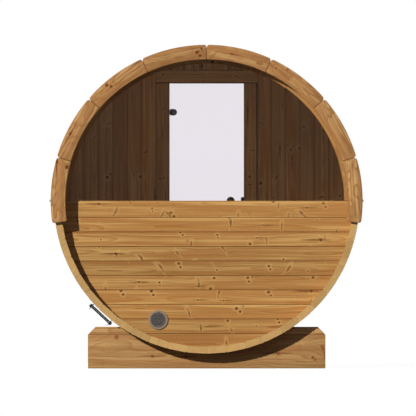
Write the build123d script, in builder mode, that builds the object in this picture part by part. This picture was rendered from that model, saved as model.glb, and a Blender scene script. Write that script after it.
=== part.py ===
from build123d import *
import os
from math import atan2, cos, degrees, radians, sin, sqrt

# A barrel sauna lying on two cradles. Millimetres, +Z up, origin on the ground under the middle
# of the barrel. The barrel axis runs along Y: the window end faces -Y and the door end +Y.

# Barrel of staves
ground_clearance = 100.0
stave_outer_radius = 1030.0
stave_thickness = 45.0
stave_length = 2000.0
stave_count = 48
stave_groups = 4
stave_joint_gap = 0.3
stave_edge_chamfer = 4.0
tongue_depth = 6.0
tongue_width = 15.0
tongue_crest_share = 0.55
croze_depth = 12.0
croze_clearance = 0.3

# End walls, set back inside the barrel
end_recess = 80.0
wall_thickness = 42.0
board_pitch = 97.6
board_gap = 0.6
board_chamfer = 3.0
rim_clearance = 0.5

# Window end: half wall with an arched pane above it
sill_board_height = 113.7
sill_round = 11.0
arch_reveal = 57.8
arch_segments = 8
arch_edge_chamfer = 3.0
pane_thickness = 8.0
pane_bite = 12.0
pane_side_clearance = 0.5
pane_edge_clearance = 0.8

# Round vent in the half wall
vent_x = -326.0
vent_lift = 180.0
vent_collar_radius = 66.0
vent_collar_thickness = 8.0
vent_collar_round = 4.0
vent_bore_radius = 51.5
vent_tube_wall = 3.0
vent_tube_clearance = 0.4
vent_grille_thickness = 3.0
vent_grille_recess = 3.0
vent_grille_clearance = 0.2
vent_slot_width = 5.0
vent_slot_pitch = 11.0
vent_rim_width = 6.0

# Arched trim on both barrel ends
trim_overhang = 20.0
trim_width = 100.0
trim_thickness = 28.0
trim_segment_angle = 24.6
trim_pair_names = ("crown", "shoulder", "side", "foot")
trim_joint_gap = 0.8
trim_outer_corner = 12.0
trim_inner_corner = 5.0
trim_edge_chamfer = 4.0

# Cradles
cradle_shoulder = 302.0
cradle_wrap = 128.0
cradle_block_height = 42.0
cradle_thickness = 90.0
cradle_recess = 108.0
cradle_fit = 0.3

# Steel hoops, their tension rods and side splices
hoop_recess = 330.0
hoop_width = 30.0
hoop_strap_thickness = 1.5
hoop_lug_thickness = 4.0
hoop_lug_reach = 47.0
tension_angle = 227.0
tension_half_angle = 4.4
tension_rod_radius = 5.0
tension_rod_length = 197.0
tension_rod_standoff = 24.0
tension_hole_clearance = 0.4
nut_fit = 0.1
tension_nut_radius = 9.8
tension_nut_height = 8.0
splice_reach = 31.0
splice_gap = 2.0
splice_bolt_radius = 4.0
splice_head_radius = 7.5
splice_head_height = 6.0
splice_hole_clearance = 0.3
nut_sides = 6

# Floor
floor_lift = 133.0
slat_thickness = 28.0
slat_width = 95.0
slat_gap = 10.0
slat_edge_chamfer = 3.0
slat_end_gap = 4.0
bearer_count = 3
bearer_thickness = 60.0
bearer_end_distance = 120.0
floor_fit = 0.3

# Door frame
door_clear_width = 507.0
frame_member_width = 93.0
frame_thickness = 62.0
frame_corner_clearance = 24.0
frame_edge_chamfer = 4.0

# Glass door leaf with its hinges, knobs and catch
leaf_overlap = 12.0
leaf_thickness = 8.0
leaf_gap = 5.0
leaf_corner_round = 8.0
hinge_end_distance = 196.0
hinge_disc_radius = 22.5
hinge_disc_inset = 28.5
hinge_disc_thickness = 4.0
hinge_disc_chamfer = 1.0
hinge_bolt_radius = 5.0
hinge_bolt_clearance = 0.4
hinge_arm_thickness = 6.0
hinge_pin_outset = 29.5
hinge_pin_standoff = 19.0
hinge_pin_radius = 4.0
hinge_pin_clearance = 0.06
hinge_knuckle_radius = 8.0
hinge_knuckle_length = 30.0
hinge_ear_thickness = 6.0
hinge_ear_clearance = 0.3
hinge_plate_thickness = 4.0
hinge_plate_length = 58.0
knob_inset = 89.5
knob_radius = 27.5
knob_depth = 42.0
knob_neck_radius = 13.0
knob_neck_length = 14.0
knob_crown_share = 0.45
knob_bolt_radius = 4.0
knob_bolt_clearance = 0.4
catch_width = 20.0
catch_height = 50.0
catch_depth = 22.0
catch_round = 4.0

overrun = 5.0

# Derived sizes
stave_half_angle = radians(180 / stave_count)
stave_outer_flat = stave_outer_radius * cos(stave_half_angle)
stave_inner_flat = stave_outer_flat - stave_thickness
axis_height = ground_clearance + stave_outer_radius
staves_per_group = stave_count // stave_groups
group_angle = 360 / stave_groups
barrel_end = stave_length / 2
croze_radius = stave_inner_flat + croze_depth
wall_radius = croze_radius - rim_clearance
wall_outer = barrel_end - end_recess
wall_inner = wall_outer - wall_thickness
wall_middle = wall_outer - wall_thickness / 2
croze_width = wall_thickness + croze_clearance + croze_clearance
arch_inner_radius = stave_inner_flat - arch_reveal
pane_radius = arch_inner_radius + pane_bite
pane_groove_width = pane_thickness + pane_side_clearance + pane_side_clearance
pane_groove_radius = pane_radius + pane_edge_clearance
pane_groove_depth = pane_bite + pane_edge_clearance
vent_drop = stave_inner_flat - vent_lift
vent_tube_radius = vent_bore_radius + vent_tube_wall
trim_outer_radius = stave_outer_radius + trim_overhang
trim_inner_radius = trim_outer_radius - trim_width
cradle_beam_height = ground_clearance + cradle_wrap
cradle_height = cradle_beam_height + cradle_block_height
cradle_radius = stave_outer_radius + cradle_fit
cradle_half_length = sqrt(cradle_radius**2 - (axis_height - cradle_beam_height) ** 2) + cradle_shoulder
hoop_outer_radius = stave_outer_radius + hoop_strap_thickness
hoop_places = (-barrel_end + hoop_recess, barrel_end - hoop_recess)
lug_offset = stave_outer_radius * sin(radians(tension_half_angle))
lug_foot = stave_outer_radius * cos(radians(tension_half_angle)) + stave_joint_gap
tension_rod_distance = stave_outer_radius + tension_rod_standoff
splice_flange_radius = stave_outer_radius + splice_reach
splice_bolt_distance = (hoop_outer_radius + splice_flange_radius) / 2
floor_drop = stave_inner_flat - floor_lift
floor_top = axis_height - floor_drop
slat_bottom_drop = floor_drop + slat_thickness
door_half_width = door_clear_width / 2
frame_half_width = door_half_width + frame_member_width
frame_corner_radius = stave_inner_flat - frame_corner_clearance
frame_half_height = sqrt(frame_corner_radius**2 - frame_half_width**2)
door_half_height = frame_half_height - frame_member_width
frame_outer = wall_middle + frame_thickness / 2
frame_inner = wall_middle - frame_thickness / 2
leaf_inner = frame_outer + leaf_gap
leaf_outer = leaf_inner + leaf_thickness
leaf_half_width = door_half_width + leaf_overlap
leaf_half_height = door_half_height + leaf_overlap
hinge_height = door_half_height - hinge_end_distance
hinge_disc_x = -(door_half_width - hinge_disc_inset)
hinge_pin_x = -(door_half_width + hinge_pin_outset)
hinge_pin_y = frame_outer + hinge_pin_standoff
hinge_heights = (axis_height - hinge_height, axis_height + hinge_height)
knob_offset = door_half_width - knob_inset


def cross_plane(y):
    """Plane across the barrel at y, centred on its axis; extrusions run towards -Y."""
    return Plane(origin=(0, y, axis_height), x_dir=(1, 0, 0), z_dir=(0, -1, 0))


def level_plane(x, y, z):
    """Level plane with its origin at a point; extrusions run upwards."""
    return Plane(origin=(x, y, z), x_dir=(1, 0, 0), z_dir=(0, 0, 1))


def write_piece(piece, name):
    """Label a finished piece and write its STEP file."""
    piece.part.label = name
    export_step(piece.part, f"parts/{name}.step")


def ring_sector(inner_radius, outer_radius, start_angle, sweep_angle):
    """Flat sector of a ring about the origin."""
    with BuildSketch() as sector:
        with BuildLine():
            outer = CenterArc((0, 0), outer_radius, start_angle, sweep_angle)
            inner = CenterArc((0, 0), inner_radius, start_angle, sweep_angle)
            Line(outer @ 0, inner @ 0)
            Line(outer @ 1, inner @ 1)
        make_face()
    return sector.sketch


# Staves

def joint_point(side, distance, offset):
    """Point beside a stave joint: distance from the barrel axis, offset out of the stave (negative: into it)."""
    along = distance * cos(stave_half_angle) - offset * sin(stave_half_angle)
    across = distance * sin(stave_half_angle) + offset * cos(stave_half_angle)
    return (along, side * across)


def stave_profile():
    """Section of one stave along local X: bevelled sides, a tongue on one and a groove on the other."""
    half_gap = stave_joint_gap / 2
    stave_inner_radius = stave_inner_flat / cos(stave_half_angle)
    outer_edge = stave_outer_radius - stave_edge_chamfer
    inner_edge = stave_inner_radius + stave_edge_chamfer
    outer_flat_edge = stave_outer_radius * sin(stave_half_angle) - half_gap - stave_edge_chamfer
    inner_flat_edge = stave_inner_radius * sin(stave_half_angle) - half_gap - stave_edge_chamfer
    middle = (stave_outer_radius + stave_inner_radius) / 2
    half_root = tongue_width / 2
    half_crest = half_root * tongue_crest_share
    groove_root = half_root + stave_joint_gap
    groove_crest = half_crest + stave_joint_gap
    groove_depth = tongue_depth + stave_joint_gap
    with BuildSketch() as profile:
        with BuildLine():
            Polyline(
                (stave_outer_flat, outer_flat_edge),
                joint_point(1, outer_edge, -half_gap),
                joint_point(1, middle + half_root, -half_gap),
                joint_point(1, middle + half_crest, tongue_depth),
                joint_point(1, middle - half_crest, tongue_depth),
                joint_point(1, middle - half_root, -half_gap),
                joint_point(1, inner_edge, -half_gap),
                (stave_inner_flat, inner_flat_edge),
                (stave_inner_flat, -inner_flat_edge),
                joint_point(-1, inner_edge, -half_gap),
                joint_point(-1, middle - groove_root, -half_gap),
                joint_point(-1, middle - groove_crest, -groove_depth),
                joint_point(-1, middle + groove_crest, -groove_depth),
                joint_point(-1, middle + groove_root, -half_gap),
                joint_point(-1, outer_edge, -half_gap),
                (stave_outer_flat, -outer_flat_edge),
                close=True,
            )
        make_face()
    return profile.sketch


def build_staves(first_angle):
    """One quarter of the barrel: its staves, with the croze that each end wall sits in."""
    one_stave = stave_profile()
    first_middle = first_angle + degrees(stave_half_angle)
    with BuildPart() as staves:
        with BuildSketch(cross_plane(barrel_end)):
            with PolarLocations(0, staves_per_group, first_middle, group_angle):
                add(one_stave)
        extrude(amount=stave_length)
        for wall_face in (wall_outer, -wall_inner):
            with BuildSketch(cross_plane(wall_face + croze_clearance)):
                Circle(croze_radius)
                Circle(stave_inner_flat - overrun, mode=Mode.SUBTRACT)
            extrude(amount=croze_width, mode=Mode.SUBTRACT)
    return staves


# Window end

def build_window_boards():
    """Level boards of the half wall below the sill board, with the vent's hole through them."""
    board_count = round((wall_radius - sill_board_height) / board_pitch)
    with BuildPart() as boards:
        for index in range(board_count):
            upper = -(sill_board_height + index * board_pitch + board_gap)
            lower = upper - board_pitch + board_gap
            if index == board_count - 1:
                lower = -wall_radius
            with BuildSketch(cross_plane(-wall_inner)):
                Circle(wall_radius)
                with Locations((0, (upper + lower) / 2)):
                    Rectangle(wall_radius * 2, upper - lower, mode=Mode.INTERSECT)
            extrude(amount=wall_thickness)
        chamfer(boards.edges().filter_by(Axis.X), board_chamfer)
        with BuildSketch(cross_plane(-wall_inner + overrun)):
            with Locations((vent_x, -vent_drop)):
                Circle(vent_tube_radius + vent_tube_clearance)
        extrude(amount=wall_thickness + overrun * 2, mode=Mode.SUBTRACT)
    return boards


def build_sill_board():
    """Top board of the half wall: rounded top edges and a groove for the pane."""
    with BuildPart() as sill:
        with BuildSketch(cross_plane(-wall_inner)):
            Circle(wall_radius)
            with Locations((0, -sill_board_height / 2)):
                Rectangle(wall_radius * 2, sill_board_height, mode=Mode.INTERSECT)
        extrude(amount=wall_thickness)
        long_edges = sill.edges().filter_by(Axis.X).group_by(Axis.Z)
        fillet(long_edges[-1], sill_round)
        chamfer(long_edges[0], board_chamfer)
        with BuildSketch(level_plane(0, -wall_middle, axis_height)):
            Rectangle(pane_groove_radius * 2, pane_groove_width)
        extrude(amount=-pane_groove_depth, mode=Mode.SUBTRACT)
    return sill


def build_arch():
    """Arched window frame in segments, seated in the croze, with a groove for the pane."""
    step = 180 / arch_segments
    gap_angle = degrees(board_gap / arch_inner_radius)
    with BuildPart() as arch:
        with BuildSketch(cross_plane(-wall_inner)):
            for index in range(arch_segments):
                start = index * step + (gap_angle if index else 0)
                add(ring_sector(arch_inner_radius, wall_radius, start, (index + 1) * step - start))
        extrude(amount=wall_thickness)
        outer_face = arch.faces().group_by(Axis.Y)[0]
        inner_face = arch.faces().group_by(Axis.Y)[-1]
        for face in outer_face + inner_face:
            chamfer(face.edges().filter_by(GeomType.CIRCLE).sort_by(SortBy.RADIUS)[0], arch_edge_chamfer)
        with BuildSketch(cross_plane(-wall_middle + pane_groove_width / 2)):
            Circle(pane_groove_radius)
        extrude(amount=pane_groove_width, mode=Mode.SUBTRACT)
    return arch


def build_pane():
    """Half-moon pane, held in the arch and in the sill board's groove."""
    with BuildPart() as pane:
        with BuildSketch(cross_plane(-wall_middle + pane_thickness / 2)):
            Circle(pane_radius)
            with Locations((0, (pane_radius - pane_bite) / 2)):
                Rectangle(pane_radius * 2, pane_radius + pane_bite, mode=Mode.INTERSECT)
        extrude(amount=pane_thickness)
    return pane


def build_vent_collar():
    """Round vent collar with the short tube that lines the hole in the wall."""
    with BuildPart() as collar:
        with BuildSketch(cross_plane(-wall_outer)):
            with Locations((vent_x, -vent_drop)):
                Circle(vent_collar_radius)
        extrude(amount=vent_collar_thickness)
        fillet(collar.faces().sort_by(Axis.Y)[0].edges(), vent_collar_round)
        with BuildSketch(cross_plane(-wall_inner)):
            with Locations((vent_x, -vent_drop)):
                Circle(vent_tube_radius)
        extrude(amount=wall_thickness)
        with BuildSketch(cross_plane(-wall_inner + overrun)):
            with Locations((vent_x, -vent_drop)):
                Circle(vent_bore_radius)
        extrude(amount=wall_thickness + vent_collar_thickness + overrun * 2, mode=Mode.SUBTRACT)
    return collar


def build_vent_grille():
    """Slotted disc inside the vent collar."""
    disc_radius = vent_bore_radius - vent_grille_clearance
    slot_reach = disc_radius - vent_rim_width
    slots_a_side = int((slot_reach - vent_slot_width) / vent_slot_pitch)
    grille_face = -(wall_outer + vent_collar_thickness - vent_grille_recess)
    with BuildPart() as grille:
        with BuildSketch(cross_plane(grille_face + vent_grille_thickness)):
            with Locations((vent_x, -vent_drop)):
                Circle(disc_radius)
            for index in range(-slots_a_side, slots_a_side + 1):
                rise = index * vent_slot_pitch
                half_chord = sqrt(slot_reach**2 - (abs(rise) + vent_slot_width / 2) ** 2)
                with Locations((vent_x, rise - vent_drop)):
                    Rectangle(half_chord * 2, vent_slot_width, mode=Mode.SUBTRACT)
        extrude(amount=vent_grille_thickness)
    return grille


# Trim

def trim_segment():
    """Face of one trim board beside the top of the arch, clockwise from it, with eased corners."""
    gap_angle = degrees(trim_joint_gap / trim_outer_radius)
    with BuildSketch() as segment:
        add(ring_sector(trim_inner_radius, trim_outer_radius,
                        90 - trim_segment_angle, trim_segment_angle - gap_angle))
        by_radius = segment.vertices().sort_by_distance((0, 0, 0))
        fillet(by_radius[2:], trim_outer_corner)
        by_radius = segment.vertices().sort_by_distance((0, 0, 0))
        fillet(by_radius[:2], trim_inner_corner)
    return segment.sketch


def build_trim_pair(window_end, place):
    """Left and right trim boards at one place of the arch, on one end of the barrel."""
    board = trim_segment().rotate(Axis.Z, -place * trim_segment_angle)
    back = -barrel_end if window_end else barrel_end + trim_thickness
    with BuildPart() as pair:
        with BuildSketch(cross_plane(back)):
            add(board)
            add(board.mirror(Plane.YZ))
        extrude(amount=trim_thickness)
        shown = pair.faces().group_by(Axis.Y)[0 if window_end else -1]
        chamfer(shown.edges(), trim_edge_chamfer)
    return pair


# Cradles

def build_cradle_beam(middle):
    """Cradle beam, hollowed to the barrel's curve."""
    with BuildPart() as beam:
        with BuildSketch(cross_plane(middle + cradle_thickness / 2)):
            with Locations((0, cradle_beam_height / 2 - axis_height)):
                Rectangle(cradle_half_length * 2, cradle_beam_height)
            Circle(cradle_radius, mode=Mode.SUBTRACT)
        extrude(amount=cradle_thickness)
    return beam


def build_cradle_blocks(middle):
    """Pair of blocks on a cradle beam, mitred outside and curved to the barrel inside."""
    foot = cradle_beam_height - axis_height
    top = cradle_height - axis_height
    with BuildPart() as blocks:
        with BuildSketch(cross_plane(middle + cradle_thickness / 2)):
            with BuildLine():
                Polyline(
                    (-cradle_half_length, foot),
                    (cradle_half_length, foot),
                    (cradle_half_length - cradle_block_height, top),
                    (cradle_block_height - cradle_half_length, top),
                    close=True,
                )
            make_face()
            Circle(cradle_radius, mode=Mode.SUBTRACT)
        extrude(amount=cradle_thickness)
    return blocks


# Hoops

def tension_plane(y, along):
    """Plane square to a tension rod, at a distance along it from its middle."""
    angle = radians(tension_angle)
    x = tension_rod_distance * cos(angle) - along * sin(angle)
    z = tension_rod_distance * sin(angle) + along * cos(angle) + axis_height
    return Plane(origin=(x, y, z), x_dir=(0, 1, 0), z_dir=(-sin(angle), 0, cos(angle)))


def tension_lug(side):
    """Section of the lug at one end of the hoop's gap."""
    with BuildSketch() as lug:
        with Locations((lug_foot + hoop_lug_reach / 2, side * (lug_offset + hoop_lug_thickness / 2))):
            Rectangle(hoop_lug_reach, hoop_lug_thickness)
    return lug.sketch.rotate(Axis.Z, tension_angle)


def splice_flange(side, rise):
    """Section of a splice flange: side is +1 or -1 along X, rise is +1 above the joint or -1 below."""
    length = splice_flange_radius - stave_outer_radius
    with BuildSketch() as flange:
        with Locations((side * (stave_outer_radius + length / 2), rise * (splice_gap + hoop_lug_thickness) / 2)):
            Rectangle(length, hoop_lug_thickness)
    return flange.sketch


def build_hoop(y):
    """One hoop: an upper strap, a lower strap and a short strap, with flanges and lugs bent outwards."""
    splice_angle = degrees(splice_gap / 2 / stave_outer_radius)
    gap_start = tension_angle - tension_half_angle
    gap_end = tension_angle + tension_half_angle
    straps = (
        (splice_angle, 180 - splice_angle, (splice_flange(1, 1), splice_flange(-1, 1))),
        (180 + splice_angle, gap_start, (splice_flange(-1, -1), tension_lug(-1))),
        (gap_end, 360 - splice_angle, (tension_lug(1), splice_flange(1, -1))),
    )
    with BuildPart() as hoop:
        with BuildSketch(cross_plane(y + hoop_width / 2)):
            for start, end, bends in straps:
                add(ring_sector(stave_outer_radius, hoop_outer_radius, start, end - start))
                for bend in bends:
                    add(bend)
        extrude(amount=hoop_width)
        with BuildSketch(tension_plane(y, -tension_rod_length / 2)):
            Circle(tension_rod_radius + tension_hole_clearance)
        extrude(amount=tension_rod_length, mode=Mode.SUBTRACT)
        for side in (-1, 1):
            hole_foot = axis_height - splice_gap - hoop_lug_thickness
            with BuildSketch(level_plane(side * splice_bolt_distance, y, hole_foot)):
                Circle(splice_bolt_radius + splice_hole_clearance)
            extrude(amount=(splice_gap + hoop_lug_thickness) * 2, mode=Mode.SUBTRACT)
    return hoop


def build_tension_rods():
    """Threaded rod across the gap of each hoop."""
    with BuildPart() as rods:
        for y in hoop_places:
            with BuildSketch(tension_plane(y, -tension_rod_length / 2)):
                Circle(tension_rod_radius)
            extrude(amount=tension_rod_length)
    return rods


def build_tension_nuts():
    """Nuts outside the lugs of each hoop."""
    lug_back = lug_offset + hoop_lug_thickness
    with BuildPart() as nuts:
        for y in hoop_places:
            for start in (-lug_back - tension_nut_height, lug_back):
                with BuildSketch(tension_plane(y, start)):
                    RegularPolygon(tension_nut_radius, nut_sides)
                    Circle(tension_rod_radius + nut_fit, mode=Mode.SUBTRACT)
                extrude(amount=tension_nut_height)
    return nuts


def build_splice_bolts():
    """Bolt through the two flanges at each side of each hoop, with its head and nut."""
    grip = splice_gap + hoop_lug_thickness * 2
    with BuildPart() as bolts:
        for y in hoop_places:
            for side in (-1, 1):
                foot = axis_height - grip / 2
                with BuildSketch(level_plane(side * splice_bolt_distance, y, foot)):
                    Circle(splice_bolt_radius)
                extrude(amount=grip)
                for start in (foot - splice_head_height, foot + grip):
                    with BuildSketch(level_plane(side * splice_bolt_distance, y, start)):
                        RegularPolygon(splice_head_radius, nut_sides)
                    extrude(amount=splice_head_height)
    return bolts


# Floor

def build_floor_slats():
    """Walking boards laid lengthwise, as many as the barrel's curve leaves room for."""
    half_room = sqrt((stave_inner_flat - floor_fit) ** 2 - slat_bottom_drop**2)
    pitch = slat_width + slat_gap
    count = int((half_room * 2 + slat_gap) / pitch)
    window_stop = slat_end_gap - wall_inner
    door_stop = frame_inner - slat_end_gap
    length = door_stop - window_stop
    with BuildPart() as slats:
        with BuildSketch(level_plane(0, (door_stop + window_stop) / 2, floor_top - slat_thickness)):
            with GridLocations(pitch, 0, count, 1):
                Rectangle(slat_width, length)
        extrude(amount=slat_thickness)
        chamfer(slats.faces().group_by(Axis.Z)[-1].edges().filter_by(Axis.Y), slat_edge_chamfer)
    return slats


def build_floor_bearers():
    """Bearers across the barrel, curved below to lie on the staves."""
    span = (wall_inner - bearer_end_distance) * 2
    with BuildPart() as bearers:
        for index in range(bearer_count):
            middle = span * (index / (bearer_count - 1)) - span / 2
            with BuildSketch(cross_plane(middle + bearer_thickness / 2)):
                Circle(stave_inner_flat - floor_fit)
                with Locations((0, -(stave_inner_flat + slat_bottom_drop) / 2)):
                    depth = stave_inner_flat - slat_bottom_drop
                    Rectangle(stave_inner_flat * 2, depth, mode=Mode.INTERSECT)
            extrude(amount=bearer_thickness)
    return bearers


# Door end

def build_side_boards(side):
    """Upright boards of the door wall on one side of the frame."""
    start = frame_half_width + board_gap
    count = round((wall_radius - start) / board_pitch)
    with BuildPart() as boards:
        for index in range(count):
            near = start + index * board_pitch
            far = near + board_pitch - board_gap
            if index == count - 1:
                far = wall_radius
            with BuildSketch(cross_plane(wall_outer)):
                Circle(wall_radius)
                with Locations((side * (near + far) / 2, 0)):
                    Rectangle(far - near, wall_radius * 2, mode=Mode.INTERSECT)
            extrude(amount=wall_thickness)
        chamfer(boards.edges().filter_by(Axis.Z), board_chamfer)
    return boards


def build_short_boards(side):
    """Upright boards of the door wall above the frame (side +1) or below it (side -1)."""
    count = round(frame_half_width * 2 / board_pitch)
    pitch = frame_half_width * 2 / count
    start = frame_half_height + board_gap
    with BuildPart() as boards:
        for index in range(count):
            middle = (index + 0.5) * pitch - frame_half_width
            with BuildSketch(cross_plane(wall_outer)):
                Circle(wall_radius)
                with Locations((middle, side * (start + wall_radius) / 2)):
                    Rectangle(pitch - board_gap, wall_radius - start, mode=Mode.INTERSECT)
            extrude(amount=wall_thickness)
        chamfer(boards.edges().filter_by(Axis.Z), board_chamfer)
    return boards


def build_frame_member(x, rise, width, height):
    """One timber of the door frame, with eased edges on both faces."""
    with BuildPart() as member:
        with BuildSketch(cross_plane(frame_outer)):
            with Locations((x, rise)):
                Rectangle(width, height)
        extrude(amount=frame_thickness)
        outer_edges = member.faces().sort_by(Axis.Y)[-1].edges()
        inner_edges = member.faces().sort_by(Axis.Y)[0].edges()
        chamfer(outer_edges + inner_edges, frame_edge_chamfer)
    return member


def build_leaf():
    """Glass door leaf, drilled for its hinges and its knobs."""
    with BuildPart() as leaf:
        with BuildSketch(cross_plane(leaf_outer)):
            RectangleRounded(leaf_half_width * 2, leaf_half_height * 2, leaf_corner_round)
            with Locations((hinge_disc_x, hinge_height), (hinge_disc_x, -hinge_height)):
                Circle(hinge_bolt_radius + hinge_bolt_clearance, mode=Mode.SUBTRACT)
            with Locations((knob_offset, 0)):
                Circle(knob_bolt_radius + knob_bolt_clearance, mode=Mode.SUBTRACT)
        extrude(amount=leaf_thickness)
    return leaf


def build_hinge_discs():
    """Clamp disc inside the glass at each hinge, with its bolt through the glass."""
    with BuildPart() as discs:
        for height in (-hinge_height, hinge_height):
            with BuildSketch(cross_plane(leaf_inner)):
                with Locations((hinge_disc_x, height)):
                    Circle(hinge_disc_radius)
            extrude(amount=hinge_disc_thickness)
            with BuildSketch(cross_plane(leaf_outer)):
                with Locations((hinge_disc_x, height)):
                    Circle(hinge_bolt_radius)
            extrude(amount=leaf_thickness)
        shown = discs.faces().group_by(Axis.Y)[0]
        chamfer(shown.edges(), hinge_disc_chamfer)
    return discs


def build_hinge_arms():
    """Arm outside the glass at each hinge, running to the knuckle that turns on the pin."""
    reach = hinge_disc_x - hinge_pin_x
    arm_outer = leaf_outer + hinge_arm_thickness
    with BuildPart() as arms:
        for height in hinge_heights:
            with BuildSketch(cross_plane(arm_outer)):
                with Locations((hinge_disc_x, height - axis_height)):
                    Circle(hinge_disc_radius)
                with Locations((hinge_pin_x + reach / 2, height - axis_height)):
                    Rectangle(reach, hinge_knuckle_length)
            extrude(amount=hinge_arm_thickness)
            with BuildSketch(level_plane(hinge_pin_x, hinge_pin_y, height - hinge_knuckle_length / 2)):
                Circle(hinge_knuckle_radius)
            extrude(amount=hinge_knuckle_length)
            with BuildSketch(level_plane(hinge_pin_x, hinge_pin_y, height - hinge_knuckle_length / 2)):
                Circle(hinge_pin_radius + hinge_pin_clearance)
            extrude(amount=hinge_knuckle_length, mode=Mode.SUBTRACT)
    return arms


def build_hinge_brackets():
    """Plate on the door frame at each hinge, with two ears that carry the pin."""
    plate_width = hinge_knuckle_radius * 2
    ear_offset = hinge_knuckle_length / 2 + hinge_ear_clearance
    ear_reach = hinge_pin_y - frame_outer
    with BuildPart() as brackets:
        for height in hinge_heights:
            plate_right = hinge_pin_x + hinge_knuckle_radius
            with BuildSketch(cross_plane(frame_outer + hinge_plate_thickness)):
                with Locations((plate_right - plate_width, height - axis_height)):
                    Rectangle(plate_width * 2, hinge_plate_length)
            extrude(amount=hinge_plate_thickness)
            for start in (height - ear_offset - hinge_ear_thickness, height + ear_offset):
                with BuildSketch(level_plane(hinge_pin_x, hinge_pin_y, start)):
                    Circle(hinge_knuckle_radius)
                    with Locations((0, -ear_reach / 2)):
                        Rectangle(plate_width, ear_reach)
                extrude(amount=hinge_ear_thickness)
            with BuildSketch(level_plane(hinge_pin_x, hinge_pin_y, height - ear_offset)):
                Circle(hinge_pin_radius)
            extrude(amount=ear_offset * 2)
    return brackets


def build_knob(face, outwards):
    """Turned door knob on a glass face, pointing outwards (+1) or into the cabin (-1)."""
    crown = knob_depth * knob_crown_share
    waist = knob_depth - crown
    dome_radius = (knob_radius**2 + crown**2) / (crown * 2)
    half_turn = atan2(knob_radius, dome_radius - crown) / 2
    halfway = (dome_radius * sin(half_turn), knob_depth - dome_radius + dome_radius * cos(half_turn))
    turning = Plane(origin=(knob_offset, face, axis_height), x_dir=(1, 0, 0), z_dir=(0, 0, outwards))
    with BuildPart() as knob:
        with BuildSketch(turning):
            with BuildLine():
                Polyline((0, 0), (knob_neck_radius, 0), (knob_neck_radius, knob_neck_length), (knob_radius, waist))
                ThreePointArc((knob_radius, waist), halfway, (0, knob_depth))
                Line((0, knob_depth), (0, 0))
            make_face()
        revolve(axis=Axis(turning.origin, (0, 1, 0)))
    return knob


def build_catch():
    """Catch on the frame's strike side, beside the knob."""
    with BuildPart() as catch:
        with BuildSketch(cross_plane(frame_outer - frame_edge_chamfer)):
            with Locations((door_half_width - catch_width / 2, 0)):
                Rectangle(catch_width, catch_height)
        extrude(amount=catch_depth)
        fillet(catch.faces().sort_by(Axis.X)[0].edges().filter_by(Axis.Y), catch_round)
    return catch


os.makedirs("parts", exist_ok=True)

for group_index, group_name in enumerate(("right", "top", "left", "bottom")):
    write_piece(build_staves((group_index - 0.5) * group_angle), f"staves_{group_name}")

write_piece(build_window_boards(), "window_wall_boards")
write_piece(build_sill_board(), "window_sill_board")
write_piece(build_arch(), "window_arch")
write_piece(build_pane(), "window_pane")
write_piece(build_vent_collar(), "vent_collar")
write_piece(build_vent_grille(), "vent_grille")

for pair_index, pair_name in enumerate(trim_pair_names):
    write_piece(build_trim_pair(True, pair_index), f"window_trim_{pair_name}")
    write_piece(build_trim_pair(False, pair_index), f"door_trim_{pair_name}")

cradle_middle = barrel_end - cradle_recess - cradle_thickness / 2
for end_name, end_middle in (("window", -cradle_middle), ("door", cradle_middle)):
    write_piece(build_cradle_beam(end_middle), f"{end_name}_cradle_beam")
    write_piece(build_cradle_blocks(end_middle), f"{end_name}_cradle_blocks")

for end_name, hoop_place in zip(("window", "door"), hoop_places):
    write_piece(build_hoop(hoop_place), f"{end_name}_hoop")
write_piece(build_tension_rods(), "hoop_tension_rods")
write_piece(build_tension_nuts(), "hoop_tension_nuts")
write_piece(build_splice_bolts(), "hoop_splice_bolts")

write_piece(build_floor_slats(), "floor_slats")
write_piece(build_floor_bearers(), "floor_bearers")

write_piece(build_side_boards(-1), "door_wall_left")
write_piece(build_side_boards(1), "door_wall_right")
write_piece(build_short_boards(1), "door_wall_over")
write_piece(build_short_boards(-1), "door_wall_under")
jamb_x = door_half_width + frame_member_width / 2
head_rise = door_half_height + frame_member_width / 2
write_piece(build_frame_member(-jamb_x, 0, frame_member_width, door_half_height * 2), "door_jamb_left")
write_piece(build_frame_member(jamb_x, 0, frame_member_width, door_half_height * 2), "door_jamb_right")
write_piece(build_frame_member(0, head_rise, frame_half_width * 2, frame_member_width), "door_head")
write_piece(build_frame_member(0, -head_rise, frame_half_width * 2, frame_member_width), "door_threshold")

write_piece(build_leaf(), "door_glass")
write_piece(build_hinge_discs(), "door_hinge_discs")
write_piece(build_hinge_arms(), "door_hinge_arms")
write_piece(build_hinge_brackets(), "door_hinge_brackets")
write_piece(build_knob(leaf_inner, -1), "door_knob")
write_piece(build_knob(leaf_outer, 1), "door_pull")
write_piece(build_catch(), "door_catch")
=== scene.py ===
"""The looks of a barrel sauna: its boards, glass, steel and studio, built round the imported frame."""

import logging
import math
from collections.abc import Mapping, Sequence
from dataclasses import dataclass
from enum import Enum
from typing import Any

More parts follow.
